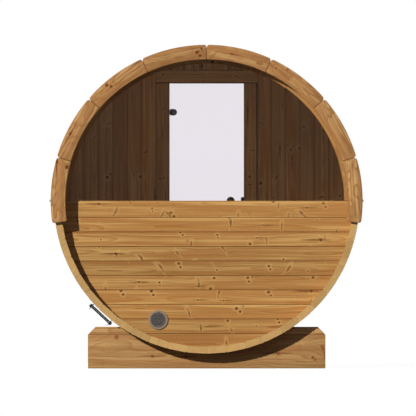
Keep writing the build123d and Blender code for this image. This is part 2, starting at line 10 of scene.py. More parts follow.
import bmesh
import bpy
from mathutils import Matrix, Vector


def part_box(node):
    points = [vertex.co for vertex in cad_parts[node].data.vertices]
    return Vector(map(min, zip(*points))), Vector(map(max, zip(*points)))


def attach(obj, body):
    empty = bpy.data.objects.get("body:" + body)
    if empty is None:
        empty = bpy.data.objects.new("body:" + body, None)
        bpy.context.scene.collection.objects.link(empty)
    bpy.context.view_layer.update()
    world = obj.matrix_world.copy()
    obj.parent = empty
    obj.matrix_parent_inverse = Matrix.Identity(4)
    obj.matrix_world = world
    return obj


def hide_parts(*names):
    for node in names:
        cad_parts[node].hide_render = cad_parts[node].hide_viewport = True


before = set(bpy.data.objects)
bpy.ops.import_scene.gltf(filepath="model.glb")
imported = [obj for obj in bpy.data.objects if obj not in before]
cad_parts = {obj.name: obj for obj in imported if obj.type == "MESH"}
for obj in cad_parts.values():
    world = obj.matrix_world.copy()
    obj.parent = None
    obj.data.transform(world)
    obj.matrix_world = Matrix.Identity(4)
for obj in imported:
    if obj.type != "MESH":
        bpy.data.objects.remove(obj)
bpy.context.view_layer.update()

LOG = logging.getLogger("barrel_sauna")

Point = tuple[float, float]
Triple = tuple[float, float, float]
Colour = tuple[float, float, float, float]

QUARTER = math.pi / 2
ORIGIN = (0.0, 0.0, 0.0)


class Slot(Enum):
    """The record's material slots."""

    STAVE = "stave_wood"
    WALL = "wall_wood"
    TRIM = "trim_wood"
    CRADLE = "cradle_wood"
    FLOOR = "floor_wood"
    FRAME = "frame_wood"
    KNOB = "knob_wood"
    HOOP = "hoop_steel"
    BLACK = "black_steel"
    COLLAR = "vent_collar_grey"
    GRILLE = "vent_grille_dark"


class Body(Enum):
    """The two bodies that pieces ride on."""

    BARREL = "barrel"
    DOOR = "door"


class End(Enum):
    """The two ends of the barrel, by the sign of Y."""

    WINDOW = -1
    DOOR = 1

    @property
    def word(self) -> str:
        """The end's word in the names of nodes and pieces."""
        return self.name.lower()


class Kind(Enum):
    """The kinds of socket that a tree's inputs have."""

    GEOMETRY = "NodeSocketGeometry"
    COUNT = "NodeSocketInt"
    NUMBER = "NodeSocketFloat"
    VECTOR = "NodeSocketVector"
    COLOUR = "NodeSocketColor"
    MATERIAL = "NodeSocketMaterial"


class Seat(Enum):
    """Turns that seat a board, which lies along X with its face to +Z, in the part."""

    FACING_WINDOW_END = (QUARTER, 0.0, 0.0)
    FACING_DOOR_END = (QUARTER, 0.0, math.pi)
    UPRIGHT = (QUARTER, -QUARTER, 0.0)
    UPRIGHT_DOWNWARD = (QUARTER, QUARTER, 0.0)
    ALONG_BARREL = (0.0, 0.0, QUARTER)


def srgb(red: int, green: int, blue: int) -> Colour:
    """Turn a display colour into the linear one that shaders take.

    Args:
        red: Red from 0 to 255.
        green: Green from 0 to 255.
        blue: Blue from 0 to 255.

    Returns:
        The linear colour, opaque.
    """
    shares = [value / 255 for value in (red, green, blue)]
    # The numbers are those of the sRGB curve.
    linear = [c / 12.92 if c <= 0.04045 else ((c + 0.055) / 1.055) ** 2.4 for c in shares]
    return (*linear, 1.0)


def linked(name: str, data: bpy.types.ID, place: Triple = ORIGIN, turn: Any = ORIGIN) -> bpy.types.Object:
    """Add an object to the scene.

    Args:
        name: Its name.
        data: Its mesh, lamp or camera.
        place: Where it is.
        turn: How it is turned.

    Returns:
        The object.
    """
    made = bpy.data.objects.new(name, data)
    made.location = place
    made.rotation_euler = turn
    bpy.context.scene.collection.objects.link(made)
    return made


class Wire:
    """A node's output that takes part in sums, each of which adds a Math or Vector Math node."""

    def __init__(self, graph: "Graph", socket: bpy.types.NodeSocket) -> None:
        """Keep the graph and the socket."""
        self.graph = graph
        self.socket = socket

    @property
    def is_vector(self) -> bool:
        """Whether it carries a vector or a colour."""
        return self.socket.type in ("VECTOR", "RGBA")

    def __add__(self, other: Any) -> "Wire":
        """The sum."""
        return self.graph.worked("ADD", self, other)

    def __sub__(self, other: Any) -> "Wire":
        """The difference."""
        return self.graph.worked("SUBTRACT", self, other)

    def __mul__(self, other: Any) -> "Wire":
        """The product, part by part for two vectors."""
        return self.graph.worked("MULTIPLY", self, other)

    def __truediv__(self, other: Any) -> "Wire":
        """The quotient, part by part for two vectors."""
        return self.graph.worked("DIVIDE", self, other)

    def __gt__(self, other: Any) -> "Wire":
        """1 where it is greater than the other, else 0."""
        return self.graph.worked("GREATER_THAN", self, other)

    def __lt__(self, other: Any) -> "Wire":
        """1 where it is less than the other, else 0."""
        return self.graph.worked("LESS_THAN", self, other)


class Graph:
    """Short calls for adding and joining the nodes of one tree."""

    def __init__(self, tree: bpy.types.NodeTree) -> None:
        """Keep the tree that the calls work on."""
        self.tree = tree

    def feed(self, node: bpy.types.Node, feeds: Mapping[Any, Any]) -> None:
        """Link or set a node's inputs.

        Args:
            node: The node.
            feeds: Inputs by name or place, each a wire to link or a value to set.
        """
        for key, value in feeds.items():
            if isinstance(value, Wire):
                self.tree.links.new(value.socket, node.inputs[key])
            else:
                node.inputs[key].default_value = value

    def add(self, kind: str, feeds: Mapping[Any, Any] | None = None, **settings: Any) -> bpy.types.Node:
        """Add a node.

        Args:
            kind: The node's type name.
            feeds: Inputs, as feed() takes them.
            settings: The node's own properties.

        Returns:
            The new node.
        """
        node = self.tree.nodes.new(kind)
        for key, value in settings.items():
            setattr(node, key, value)
        self.feed(node, feeds or {})
        return node

    def outs(self, kind: str, feeds: Mapping[Any, Any] | None = None, **settings: Any) -> dict[str, Wire]:
        """Add a node as add() does and give all its outputs by name."""
        return {socket.name: Wire(self, socket) for socket in self.add(kind, feeds, **settings).outputs}

    def out(self, kind: str, feeds: Mapping[Any, Any] | None = None, output: Any = 0,
            **settings: Any) -> Wire:
        """Add a node as add() does and give one output, by its name or place."""
        return Wire(self, self.add(kind, feeds, **settings).outputs[output])

    def worked(self, operation: str, first: Wire, second: Any) -> Wire:
        """Put two numbers, two vectors, or a vector and a number to multiply it by, through one node.

        Args:
            operation: The operation's name.
            first: A wire.
            second: A wire or a value.

        Returns:
            The result.
        """
        if not first.is_vector:
            return self.maths(operation, first, second)
        if isinstance(second, tuple) or (isinstance(second, Wire) and second.is_vector):
            return self.out("ShaderNodeVectorMath", {0: first, 1: second}, operation=operation)
        return self.scaled(first, second)

    def maths(self, operation: str, *values: Any) -> Wire:
        """The result of a Math node."""
        return self.out("ShaderNodeMath", dict(enumerate(values)), operation=operation)

    def scaled(self, vector: Any, factor: Any) -> Wire:
        """A vector or colour times a number."""
        return self.out("ShaderNodeVectorMath", {0: vector, "Scale": factor}, operation="SCALE")

    def length(self, vector: Wire) -> Wire:
        """The length of a vector."""
        return self.out("ShaderNodeVectorMath", {0: vector}, "Value", operation="LENGTH")

    def parts(self, vector: Wire) -> list[Wire]:
        """The X, Y and Z of a vector."""
        return list(self.outs("ShaderNodeSeparateXYZ", {0: vector}).values())

    def joined(self, x: Any, y: Any, z: Any) -> Wire:
        """A vector from its X, Y and Z."""
        return self.out("ShaderNodeCombineXYZ", {0: x, 1: y, 2: z})

    def eased(self, value: Wire, low: float, high: float) -> Wire:
        """A smooth step: 0 at low, 1 at high."""
        feeds = {"Value": value, "From Min": low, "From Max": high}
        return self.out("ShaderNodeMapRange", feeds, interpolation_type="SMOOTHSTEP")

    def blend(self, factor: Any, first: Any, second: Any) -> Wire:
        """A mix of two colours."""
        # The Mix node takes colours at its sockets 6 and 7 and gives one at its output 2.
        return self.out("ShaderNodeMix", {0: factor, 6: first, 7: second}, 2, data_type="RGBA")

    def noise(self, vector: Wire, detail: float = 2.0, scale: float = 1.0) -> Wire:
        """A noise texture's value, about 0.5 on average."""
        return self.out("ShaderNodeTexNoise", {"Vector": vector, "Scale": scale, "Detail": detail})

    def attribute(self, name: str, output: str) -> Wire:
        """One of the piece's own attributes."""
        return self.out("ShaderNodeAttribute", output=output, attribute_name=name)


class GroupTree(Graph):
    """A node group with named inputs and outputs."""

    def __init__(self, name: str, tree_kind: str, inputs: Mapping[str, Kind],
                 outputs: Mapping[str, Kind]) -> None:
        """Make the group.

        Args:
            name: The group's name.
            tree_kind: The type of tree.
            inputs: The kind of each named input.
            outputs: The kind of each named output.
        """
        super().__init__(bpy.data.node_groups.new(name, tree_kind))
        for in_out, sockets in (("INPUT", inputs), ("OUTPUT", outputs)):
            for socket, kind in sockets.items():
                self.tree.interface.new_socket(name=socket, in_out=in_out, socket_type=kind.value)
        self.given = self.outs("NodeGroupInput")

    def close(self, **results: Wire) -> bpy.types.NodeTree:
        """Link the group's outputs, by name, and give the finished tree."""
        self.add("NodeGroupOutput", results)
        return self.tree


class GeometryTree(GroupTree):
    """A geometry tree that takes one mesh and named sizes, and gives a mesh."""

    # Limits on the parts of a face's normal in the board frame, where X runs along the board.
    END_FROM = 0.9
    EDGE_FROM = 0.12
    EDGE_TO = 0.98
    # How strongly painted shade darkens an eased edge: the upper one, and what the lower one has more, as
    # though lit from above.
    UPPER_SHADE = 0.4
    LOWER_SHADE_MORE = 0.6

    def __init__(self, name: str, inputs: Mapping[str, Kind]) -> None:
        """Make the tree with a mesh before its own inputs and the material after them."""
        inputs = {"Geometry": Kind.GEOMETRY, **inputs, "Material": Kind.MATERIAL}
        super().__init__(name, "GeometryNodeTree", inputs, {"Geometry": Kind.GEOMETRY})

    def index(self) -> Wire:
        """The number of each point or copy."""
        return self.out("GeometryNodeInputIndex")

    def position(self) -> Wire:
        """The place of each point."""
        return self.out("GeometryNodeInputPosition")

    def half_chord(self, radius: Wire, offset: Wire) -> Wire:
        """Half the chord of a circle at some distance from its centre."""
        return self.maths("SQRT", self.maths("MAXIMUM", radius * radius - offset * offset, 0.0))

    def turn(self, euler: Any) -> Wire:
        """A rotation from three angles."""
        return self.out("FunctionNodeEulerToRotation", {0: euler})

    def placed(self, geometry: Wire, turn: Any, place: Any) -> Wire:
        """Geometry turned, then moved."""
        feeds = {"Geometry": geometry, "Rotation": self.turn(turn), "Translation": place}
        return self.out("GeometryNodeTransform", feeds)

    def points(self, count: Wire, position: Any = ORIGIN) -> Wire:
        """Bare points, each at its own position."""
        return self.out("GeometryNodePoints", {"Count": count, "Position": position})

    def copied(self, points: Wire, instance: Wire, **feeds: Wire) -> Wire:
        """A copy on each point, with a Rotation or Scale of its own."""
        return self.out("GeometryNodeInstanceOnPoints", {"Points": points, "Instance": instance, **feeds})

    def realized(self, instances: Wire) -> Wire:
        """Instances made real."""
        return self.out("GeometryNodeRealizeInstances", {"Geometry": instances})

    def drilled(self, solid: Wire, drill: Wire, place: Any) -> Wire:
        """A solid with a hole, cut by a drill that is moved to its place."""
        feeds = {"Mesh 1": solid, "Mesh 2": self.placed(drill, ORIGIN, place)}
        return self.out("GeometryNodeMeshBoolean", feeds, operation="DIFFERENCE", solver="MANIFOLD")

    def stored(self, geometry: Wire, name: str, value: Wire, domain: str = "POINT") -> Wire:
        """Geometry with a number or a vector stored on it as a named attribute."""
        kind = "FLOAT_VECTOR" if value.is_vector else "FLOAT"
        return self.out("GeometryNodeStoreNamedAttribute", {
            "Geometry": geometry, "Name": name, "Value": value}, domain=domain, data_type=kind)

    def faces_marked(self, geometry: Wire) -> Wire:
        """Mark a board's end-grain faces, and paint shade on its eased edges, more on the lower ones, from
        its normals in the board frame.

        Args:
            geometry: The board.

        Returns:
            The board with the attributes endgrain and edge, where edge is how strongly painted shade darkens
            it.
        """
        along, across, outward = self.parts(self.out("GeometryNodeInputNormal"))
        steep = self.maths("ABSOLUTE", outward)
        # Painted shade: eased edges are darkened, and more where they face down.
        is_edge = (steep > self.EDGE_FROM) * (steep < self.EDGE_TO)
        shade = (across < 0.0) * self.LOWER_SHADE_MORE + self.UPPER_SHADE
        is_end = self.maths("ABSOLUTE", along) > self.END_FROM
        ends = self.stored(geometry, "endgrain", is_end, "FACE")
        return self.stored(ends, "edge", is_edge * shade, "FACE")

    def grained(self) -> Wire:
        """The given board with its grain coordinates, end faces and edges marked."""
        offset = self.position() - self.given["Centre"]
        return self.faces_marked(self.stored(self.given["Geometry"], "grain", offset))

    def numbered(self, instances: Wire, seed: Any) -> Wire:
        """Instances, each with its own board number."""
        return self.stored(instances, "board", self.index() + seed, "INSTANCE")

    def finish(self, geometry: Wire) -> bpy.types.NodeTree:
        """End the tree in Realize Instances and Set Material."""
        feeds = {"Geometry": self.realized(geometry), "Material": self.given["Material"]}
        return self.close(Geometry=self.out("GeometryNodeSetMaterial", feeds))

    def finish_on_spots(self, fitting: Wire) -> bpy.types.NodeTree:
        """End the tree with a fitting on each vertex of its mesh.

        Args:
            fitting: The fitting, which is turned to face along the vertex's attribute aim.

        Returns:
            The finished tree.
        """
        aim = self.out("GeometryNodeInputNamedAttribute", {"Name": "aim"}, data_type="FLOAT_VECTOR")
        facing = self.out("FunctionNodeAlignRotationToVector", {"Vector": aim}, axis="Z")
        spots = self.out("GeometryNodeMeshToPoints", {"Mesh": self.given["Geometry"]})
        return self.finish(self.numbered(self.copied(spots, fitting, Rotation=facing), 0.0))


class BoardTrees:
    """The geometry trees that lay, ring and crop boards, and set small ironware."""

    # How much of the wall's radius a board's corner may take up, so that its chord never ends in a point.
    INSIDE_SHARE = 0.9999
    # Vertices that the crop brings this close together become one.
    MERGED_BELOW = 0.00001
    VENT_DRILL_SIDES = 48
    VENT_DRILL_DEPTH = 0.2
    HEAD_SIDES = 20
    HEAD_CROWN_SHARE = 0.78
    SOCKET_SIDES = 6
    ROD_SIDES = 14

    def __init__(self) -> None:
        """Build each tree once."""
        self.ring = self.ring_of_boards()
        self.row = self.row_of_boards()
        self.wall = self.boards_to_circle(False)
        self.pierced_wall = self.boards_to_circle(True)
        self.heads = self.screw_heads()
        self.thread = self.threaded_rod()
        self.wires = self.crossed_wires()

    @staticmethod
    def ring_of_boards() -> bpy.types.NodeTree:
        """Turn copies of a board about the barrel's axis, clockwise from the top.

        Returns:
            The tree.
        """
        tree = GeometryTree("ring_of_boards", {
            "Count": Kind.COUNT, "First Angle": Kind.NUMBER, "Step Angle": Kind.NUMBER,
            "Centre": Kind.VECTOR, "Seat": Kind.VECTOR, "Place": Kind.VECTOR, "Seed": Kind.NUMBER})
        given = tree.given
        seated = tree.placed(tree.grained(), given["Seat"], ORIGIN)
        angle = tree.index() * given["Step Angle"] + given["First Angle"]
        turn = tree.turn(tree.joined(0, angle, 0))
        ring = tree.numbered(tree.copied(tree.points(given["Count"]), seated, Rotation=turn), given["Seed"])
        return tree.finish(tree.placed(ring, ORIGIN, given["Place"]))

    @staticmethod
    def row_of_boards() -> bpy.types.NodeTree:
        """Set out copies of a board in a straight row.

        Returns:
            The tree.
        """
        tree = GeometryTree("row_of_boards", {
            "Count": Kind.COUNT, "First": Kind.VECTOR, "Step": Kind.VECTOR, "Centre": Kind.VECTOR,
            "Seat": Kind.VECTOR, "Seed": Kind.NUMBER})
        given = tree.given
        seated = tree.placed(tree.grained(), given["Seat"], ORIGIN)
        points = tree.points(given["Count"], given["Step"] * tree.index() + given["First"])
        return tree.finish(tree.numbered(tree.copied(points, seated), given["Seed"]))

    def boards_to_circle(self, pierced: bool) -> bpy.types.NodeTree:
        """Lay boards side by side and crop them to a circle; each board is stretched to its chord.

        Args:
            pierced: Whether a round hole goes through the boards.

        Returns:
            The tree.
        """
        hole = {"Hole Radius": Kind.NUMBER, "Hole Place": Kind.VECTOR} if pierced else {}
        tree = GeometryTree("pierced_wall" if pierced else "boards_to_circle", {
            "Count": Kind.COUNT, "First": Kind.NUMBER, "Pitch": Kind.NUMBER, "Radius": Kind.NUMBER,
            "Near": Kind.NUMBER, "Seat": Kind.VECTOR, "Place": Kind.VECTOR, "Seed": Kind.NUMBER, **hole})
        given = tree.given
        first_place = tree.joined(0, tree.index() * given["Pitch"] + given["First"], 0)
        boards = tree.realized(tree.copied(tree.points(given["Count"], first_place), given["Geometry"]))

        along, across, depth = tree.parts(tree.position())
        limit = given["Radius"] * self.INSIDE_SHARE
        kept = tree.maths("MAXIMUM", tree.maths("MINIMUM", across, limit), limit * -1.0)
        far = tree.half_chord(given["Radius"], kept)
        near = tree.maths("MAXIMUM", far * -1.0, given["Near"])
        stretched = (far - near) * (along * 0.5 + 0.5) + near
        fitted = tree.out("GeometryNodeSetPosition", {
            "Geometry": boards, "Position": tree.joined(stretched, kept, depth)})
        wall = tree.out("GeometryNodeMergeByDistance", {"Geometry": fitted, "Distance": self.MERGED_BELOW})
        if pierced:
            drill = tree.out("GeometryNodeMeshCylinder", {
                "Vertices": self.VENT_DRILL_SIDES, "Radius": given["Hole Radius"],
                "Depth": self.VENT_DRILL_DEPTH})
            wall = tree.drilled(wall, drill, given["Hole Place"])

        x, y, z = tree.parts(tree.position())
        from_first = y - given["First"]
        number = tree.maths("ROUND", from_first / given["Pitch"])
        grain = tree.joined(x, from_first - number * given["Pitch"], z)
        wall = tree.stored(tree.stored(wall, "board", number + given["Seed"]), "grain", grain)
        return tree.finish(tree.placed(tree.faces_marked(wall), given["Seat"], given["Place"]))

    def screw_heads(self) -> bpy.types.NodeTree:
        """Make round heads with a six-sided socket.

        Returns:
            The tree.
        """
        tree = GeometryTree("screw_heads", {
            "Head Radius": Kind.NUMBER, "Head Height": Kind.NUMBER, "Socket Radius": Kind.NUMBER})
        given = tree.given
        head = tree.out("GeometryNodeMeshCone", {
            "Vertices": self.HEAD_SIDES, "Radius Top": given["Head Radius"] * self.HEAD_CROWN_SHARE,
            "Radius Bottom": given["Head Radius"], "Depth": given["Head Height"]})
        drill = tree.out("GeometryNodeMeshCylinder", {
            "Vertices": self.SOCKET_SIDES, "Radius": given["Socket Radius"], "Depth": given["Head Height"]})
        return tree.finish_on_spots(tree.drilled(head, drill, tree.joined(0, 0, given["Head Height"])))

    def threaded_rod(self) -> bpy.types.NodeTree:
        """Make rods with a screw thread.

        Returns:
            The tree.
        """
        tree = GeometryTree("threaded_rod", {
            "Radius": Kind.NUMBER, "Length": Kind.NUMBER, "Pitch": Kind.NUMBER, "Rings": Kind.COUNT,
            "Depth": Kind.NUMBER})
        given = tree.given
        rod = tree.out("GeometryNodeMeshCylinder", {
            "Vertices": self.ROD_SIDES, "Side Segments": given["Rings"], "Radius": given["Radius"],
            "Depth": given["Length"]})
        x, y, z = tree.parts(tree.position())
        turns = z / given["Pitch"] + tree.maths("ARCTAN2", y, x) / math.tau
        ridge = tree.maths("PINGPONG", tree.maths("FRACT", turns), 0.5)
        outward = tree.out("ShaderNodeVectorMath", {0: tree.joined(x, y, 0)}, operation="NORMALIZE")
        inward = outward * (ridge * (given["Depth"] * -2.0))
        threaded = tree.out("GeometryNodeSetPosition", {"Geometry": rod, "Offset": inward})
        return tree.finish_on_spots(threaded)

    @staticmethod
    def crossed_wires() -> bpy.types.NodeTree:
        """Make a round screen of crossed wires.

        Returns:
            The tree.
        """
        tree = GeometryTree("crossed_wires", {
            "Radius": Kind.NUMBER, "Pitch": Kind.NUMBER, "Count": Kind.COUNT, "Wire": Kind.NUMBER,
            "Place": Kind.VECTOR, "Seat": Kind.VECTOR})
        given = tree.given
        first = given["Pitch"] * (given["Count"] - 1) * -0.5
        offset = tree.index() * given["Pitch"] + first
        points = tree.points(given["Count"], tree.joined(0, offset, 0))
        chord = tree.half_chord(given["Radius"], offset) * 2.0
        wire = tree.out("GeometryNodeMeshCube", {"Size": tree.joined(1, given["Wire"], given["Wire"])})
        level = tree.copied(points, wire, Scale=tree.joined(chord, 1, 1))
        upright = tree.placed(level, (0, 0, QUARTER), tree.joined(0, 0, given["Wire"]))
        both = tree.add("GeometryNodeJoinGeometry", {0: level})
        tree.feed(both, {0: upright})
        screen = Wire(tree, both.outputs[0])
        return tree.finish(tree.placed(screen, given["Seat"], given["Place"]))


class SurfaceGroups:
    """The shader groups that several finishes share. Lengths are in metres, along and across a board."""

    # Edge is the painted shade colour of eased edges and joints.
    WOOD_COLOURS = ("Light", "Dark", "Warm", "Knot", "Halo", "End", "Edge")
    WOOD_NUMBERS = ("Knot Share", "Spike Share", "Ring Width", "Tone Spread", "Contrast", "Wander", "Waves",
                    "Knot Size", "Pith Pull")
    SURFACE = {"Color": Kind.COLOUR, "Roughness": Kind.NUMBER, "Height": Kind.NUMBER}

    # A knot that isn't drawn is moved this many knot sizes away.
    OUT_OF_SIGHT = 50.0
    SMALLEST_KNOT_SHARE = 0.6
    KNOT_SPREAD_SHARE = 0.8
    NARROWEST_SHARE = 0.25
    TWIN_SHARE = 0.8
    TWIN_BESIDE_SPREAD = 0.03
    TWIN_ABOVE = 0.014
    TWIN_ABOVE_SPREAD = 0.016
    TAIL_SHARES = (11.0, 0.8, 1.0)
    TAIL_BESIDE_SPREAD = 0.07
    TAIL_MISSING_SHARE = 0.62

    # Every board has its own place in the pattern, up to this far along and across.
    BOARDS_APART = (37.0, 9.0)
    ROUND_KNOT = {"Cell": (0.20, 0.085, 1.0), "Turn": 0.8, "Twins": 0.5, "Taper": 0.2, "Bend": 0.0}
    ROUND_KNOT_HALF = (0.0100, 0.0088, 1.0)
    SPIKE_KNOT = {"Cell": (0.30, 0.10, 1.0), "Turn": 1.5, "Twins": 0.0, "Taper": 0.45, "Bend": 3.0}
    SPIKE_KNOT_HALF = (0.0058, 0.030, 1.0)
    SPIKES_ASIDE = (5.3, 2.1, 0.0)
    # Where each mark starts and is at its full strength, in knot sizes from the middle.
    KNOT_FADE = (1.25, 0.55)
    SPIKE_FADE = (1.55, 0.5)
    HALO_FADE = (2.7, 1.4)
    TAIL_FADE = (1.0, 0.2)
    # Spikes are broken up by noise: its scale and range, the weakest part and what the strongest has more.
    BROKEN_SCALE = 60.0
    BROKEN_FADE = (0.38, 0.54)
    BROKEN_WEAKEST = 0.36
    BROKEN_MORE = 0.50

    # The growth rings: waves across a board, the pith's depth and side, the bulge round a knot, late wood.
    WAVES_ACROSS = 5.0
    WAVES_ACROSS_SHARE = 1.2
    PITH_DEPTH = -0.030
    PITH_DEPTH_SPREAD = -0.09
    PITH_BESIDE_SPREAD = 0.09
    KNOT_BULGE = 0.008
    LATE_WOOD_POWER = 2.6

    # Noise along and across the grain, in waves per metre, and the range that shows.
    STREAKS = (1.3, 75.0, 75.0)
    STREAK_FADE = (0.32, 0.68)
    FIBRES = (9.0, 800.0, 800.0)
    BANDS = (1.1, 24.0, 24.0)
    BAND_FADE = (0.43, 0.63)

    # How much each mark weighs in the colour, the roughness and the relief.
    LATE_WOOD_SHARE = 0.46
    STREAK_SHARE = 0.46
    FIBRE_SHARE = 0.14
    BAND_SHARE = 0.66
    BOARD_WARMTH_SHARE = 0.12
    HALO_SHARE = 0.34
    TAIL_SHARE = 0.8
    KNOT_SHARE = 0.92
    END_SHARE = 0.66
    # How strongly the painted shade darkens eased edges and joints.
    EDGE_SHADE_SHARE = 0.85
    WOOD_ROUGHNESS = 0.70
    STREAK_ROUGHNESS = 0.15
    LATE_WOOD_RELIEF = 0.5
    FIBRE_RELIEF = 0.6

    # Handled metal: scales and ranges of the clouds, the speckle and the scratches, and their weights.
    CLOUD_SCALE = 22.0
    CLOUD_FADE = (0.35, 0.70)
    SPECKLE_SCALE = 900.0
    SCRATCH_FADE = (0.60, 0.74)
    CLOUD_SHARE = 0.35
    SCRATCH_SHARE = 0.45
    CLOUD_ROUGHNESS = 0.12
    CLEAR_ROUGHNESS = -0.05
    SCRATCH_RELIEF = -0.6

    def __init__(self) -> None:
        """Build each group once."""
        self.knots = self.knot_field()
        self.wood = self.sawn_wood()
        self.scuffs = self.scuffed_surface()

    def knot_field(self) -> bpy.types.NodeTree:
        """Scatter oval knots and the dark tails beside them.

        Returns:
            The group, which gives how far a point lies from the nearest knot and tail, in knot sizes.
        """
        group = GroupTree("knot_field", "ShaderNodeTree", {
            "Place": Kind.VECTOR, "Cell": Kind.VECTOR, "Half Size": Kind.VECTOR, "Turn": Kind.NUMBER,
            "Share": Kind.NUMBER, "Twins": Kind.NUMBER, "Taper": Kind.NUMBER, "Bend": Kind.NUMBER},
            {"Distance": Kind.NUMBER, "Tail": Kind.NUMBER})
        given = group.given
        in_cells = given["Place"] / given["Cell"]
        cells = group.outs(
            "ShaderNodeTexVoronoi", {"Vector": in_cells, "Scale": 1.0}, voronoi_dimensions="2D")
        offset = (in_cells - cells["Position"]) * given["Cell"]
        turn_draw, size_draw, share_draw = group.parts(cells["Color"])
        angle = (turn_draw - 0.5) * given["Turn"]
        turned = group.out(
            "ShaderNodeVectorRotate", {"Vector": offset, "Angle": angle}, rotation_type="Z_AXIS")
        half_size = given["Half Size"] * (size_draw * self.KNOT_SPREAD_SHARE + self.SMALLEST_KNOT_SHARE)
        away = (share_draw > given["Share"]) * self.OUT_OF_SIGHT

        knot_x, knot_y, _ = group.parts(turned / half_size)
        breadth = group.maths("MAXIMUM", knot_y * given["Taper"] + 1.0, self.NARROWEST_SHARE)
        bent = knot_y * knot_y * ((size_draw - 0.5) * given["Bend"]) + knot_x
        first = group.length(group.joined(bent / breadth, knot_y, 0))
        beside = (turn_draw - 0.5) * self.TWIN_BESIDE_SPREAD
        above = size_draw * self.TWIN_ABOVE_SPREAD + self.TWIN_ABOVE
        twin = group.length((turned + group.joined(beside, above, 0)) / (half_size * self.TWIN_SHARE))
        no_twin = (turn_draw > given["Twins"]) * self.OUT_OF_SIGHT
        nearest = group.maths("MINIMUM", first, twin + no_twin)

        aside = (size_draw - 0.5) * self.TAIL_BESIDE_SPREAD
        in_tail = (offset + group.joined(aside, 0, 0)) / (half_size * self.TAIL_SHARES)
        no_tail = (turn_draw < self.TAIL_MISSING_SHARE) * self.OUT_OF_SIGHT
        return group.close(Distance=nearest + away, Tail=group.length(in_tail) + (away + no_tail))

    def sawn_wood(self) -> bpy.types.NodeTree:
        """Draw sawn softwood: growth rings, streaks, fibres, knots, end grain, and painted shade on eased
        edges and joints.

        Returns:
            The group.
        """
        inputs = dict.fromkeys(self.WOOD_COLOURS, Kind.COLOUR) | dict.fromkeys(self.WOOD_NUMBERS, Kind.NUMBER)
        group = GroupTree("sawn_wood", "ShaderNodeTree", inputs, self.SURFACE)
        given = group.given
        board = group.attribute("board", "Fac")
        draws = group.outs("ShaderNodeTexWhiteNoise", {"W": board}, noise_dimensions="1D")
        draw_along, draw_across, draw_pith = group.parts(draws["Color"])
        u, v, w = group.parts(group.attribute("grain", "Vector"))
        along = draw_along * self.BOARDS_APART[0] + u

        place = group.joined(along, draw_across * self.BOARDS_APART[1] + v, 0)
        knots = group.outs("ShaderNodeGroup", {
            **self.ROUND_KNOT, "Place": place, "Share": given["Knot Share"],
            "Half Size": group.scaled(self.ROUND_KNOT_HALF, given["Knot Size"])}, node_tree=self.knots)
        spikes = group.outs("ShaderNodeGroup", {
            **self.SPIKE_KNOT, "Place": place + self.SPIKES_ASIDE, "Share": given["Spike Share"],
            "Half Size": group.scaled(self.SPIKE_KNOT_HALF, given["Knot Size"])}, node_tree=self.knots)
        hard = group.eased(knots["Distance"], *self.KNOT_FADE)
        patches = group.eased(group.noise(place, detail=1.0, scale=self.BROKEN_SCALE), *self.BROKEN_FADE)
        broken = patches * self.BROKEN_MORE + self.BROKEN_WEAKEST
        soft = group.eased(spikes["Distance"], *self.SPIKE_FADE) * broken
        core = group.maths("MAXIMUM", hard, soft)
        halo = group.eased(group.maths("MINIMUM", knots["Distance"], spikes["Distance"]), *self.HALO_FADE)
        tail = group.eased(knots["Tail"], *self.TAIL_FADE)

        waves_across = given["Waves"] * self.WAVES_ACROSS_SHARE + self.WAVES_ACROSS
        drift = group.noise(group.joined(along * given["Waves"], v * waves_across, board))
        pith = draw_pith * self.PITH_DEPTH_SPREAD + self.PITH_DEPTH
        aside = (draw_across - 0.5) * self.PITH_BESIDE_SPREAD
        from_pith = group.length(group.joined(v + aside, w - pith, 0)) * given["Pith Pull"]
        radius = halo * self.KNOT_BULGE + (drift * given["Wander"] + from_pith)
        ring_share = group.maths("FRACT", radius / given["Ring Width"])
        late_wood = group.maths("POWER", ring_share, self.LATE_WOOD_POWER)

        grain = group.joined(along, v, w)
        streak = group.eased(group.noise(grain * self.STREAKS, detail=3.0), *self.STREAK_FADE)
        fibre = group.noise(grain * self.FIBRES, detail=1.0)
        band = group.eased(group.noise(grain * self.BANDS), *self.BAND_FADE)

        fine = streak * self.STREAK_SHARE + fibre * self.FIBRE_SHARE
        figure = (late_wood * self.LATE_WOOD_SHARE + fine) * given["Contrast"]
        colour = group.blend(figure, given["Light"], given["Dark"])
        warmth = band * self.BAND_SHARE + draw_pith * self.BOARD_WARMTH_SHARE
        tone = (draws["Value"] - 0.5) * given["Tone Spread"] + 1.0
        colour = group.blend(warmth, colour, given["Warm"]) * tone
        colour = group.blend(halo * self.HALO_SHARE, colour, given["Halo"])
        colour = group.blend(tail * self.TAIL_SHARE, colour, given["Knot"])
        colour = group.blend(core * self.KNOT_SHARE, colour, given["Knot"])
        ended = group.attribute("endgrain", "Fac") * self.END_SHARE
        colour = group.blend(ended, colour, given["End"] * tone)
        # Painted shade: eased edges and joints are blended towards the Edge colour, more on the lower edges.
        painted_edge_shade = group.attribute("edge", "Fac") * self.EDGE_SHADE_SHARE
        colour = group.blend(painted_edge_shade, colour, given["Edge"])
        height = late_wood * self.LATE_WOOD_RELIEF + (fibre * self.FIBRE_RELIEF + core)
        rough = streak * self.STREAK_ROUGHNESS + self.WOOD_ROUGHNESS
        return group.close(Color=colour, Roughness=rough, Height=height)

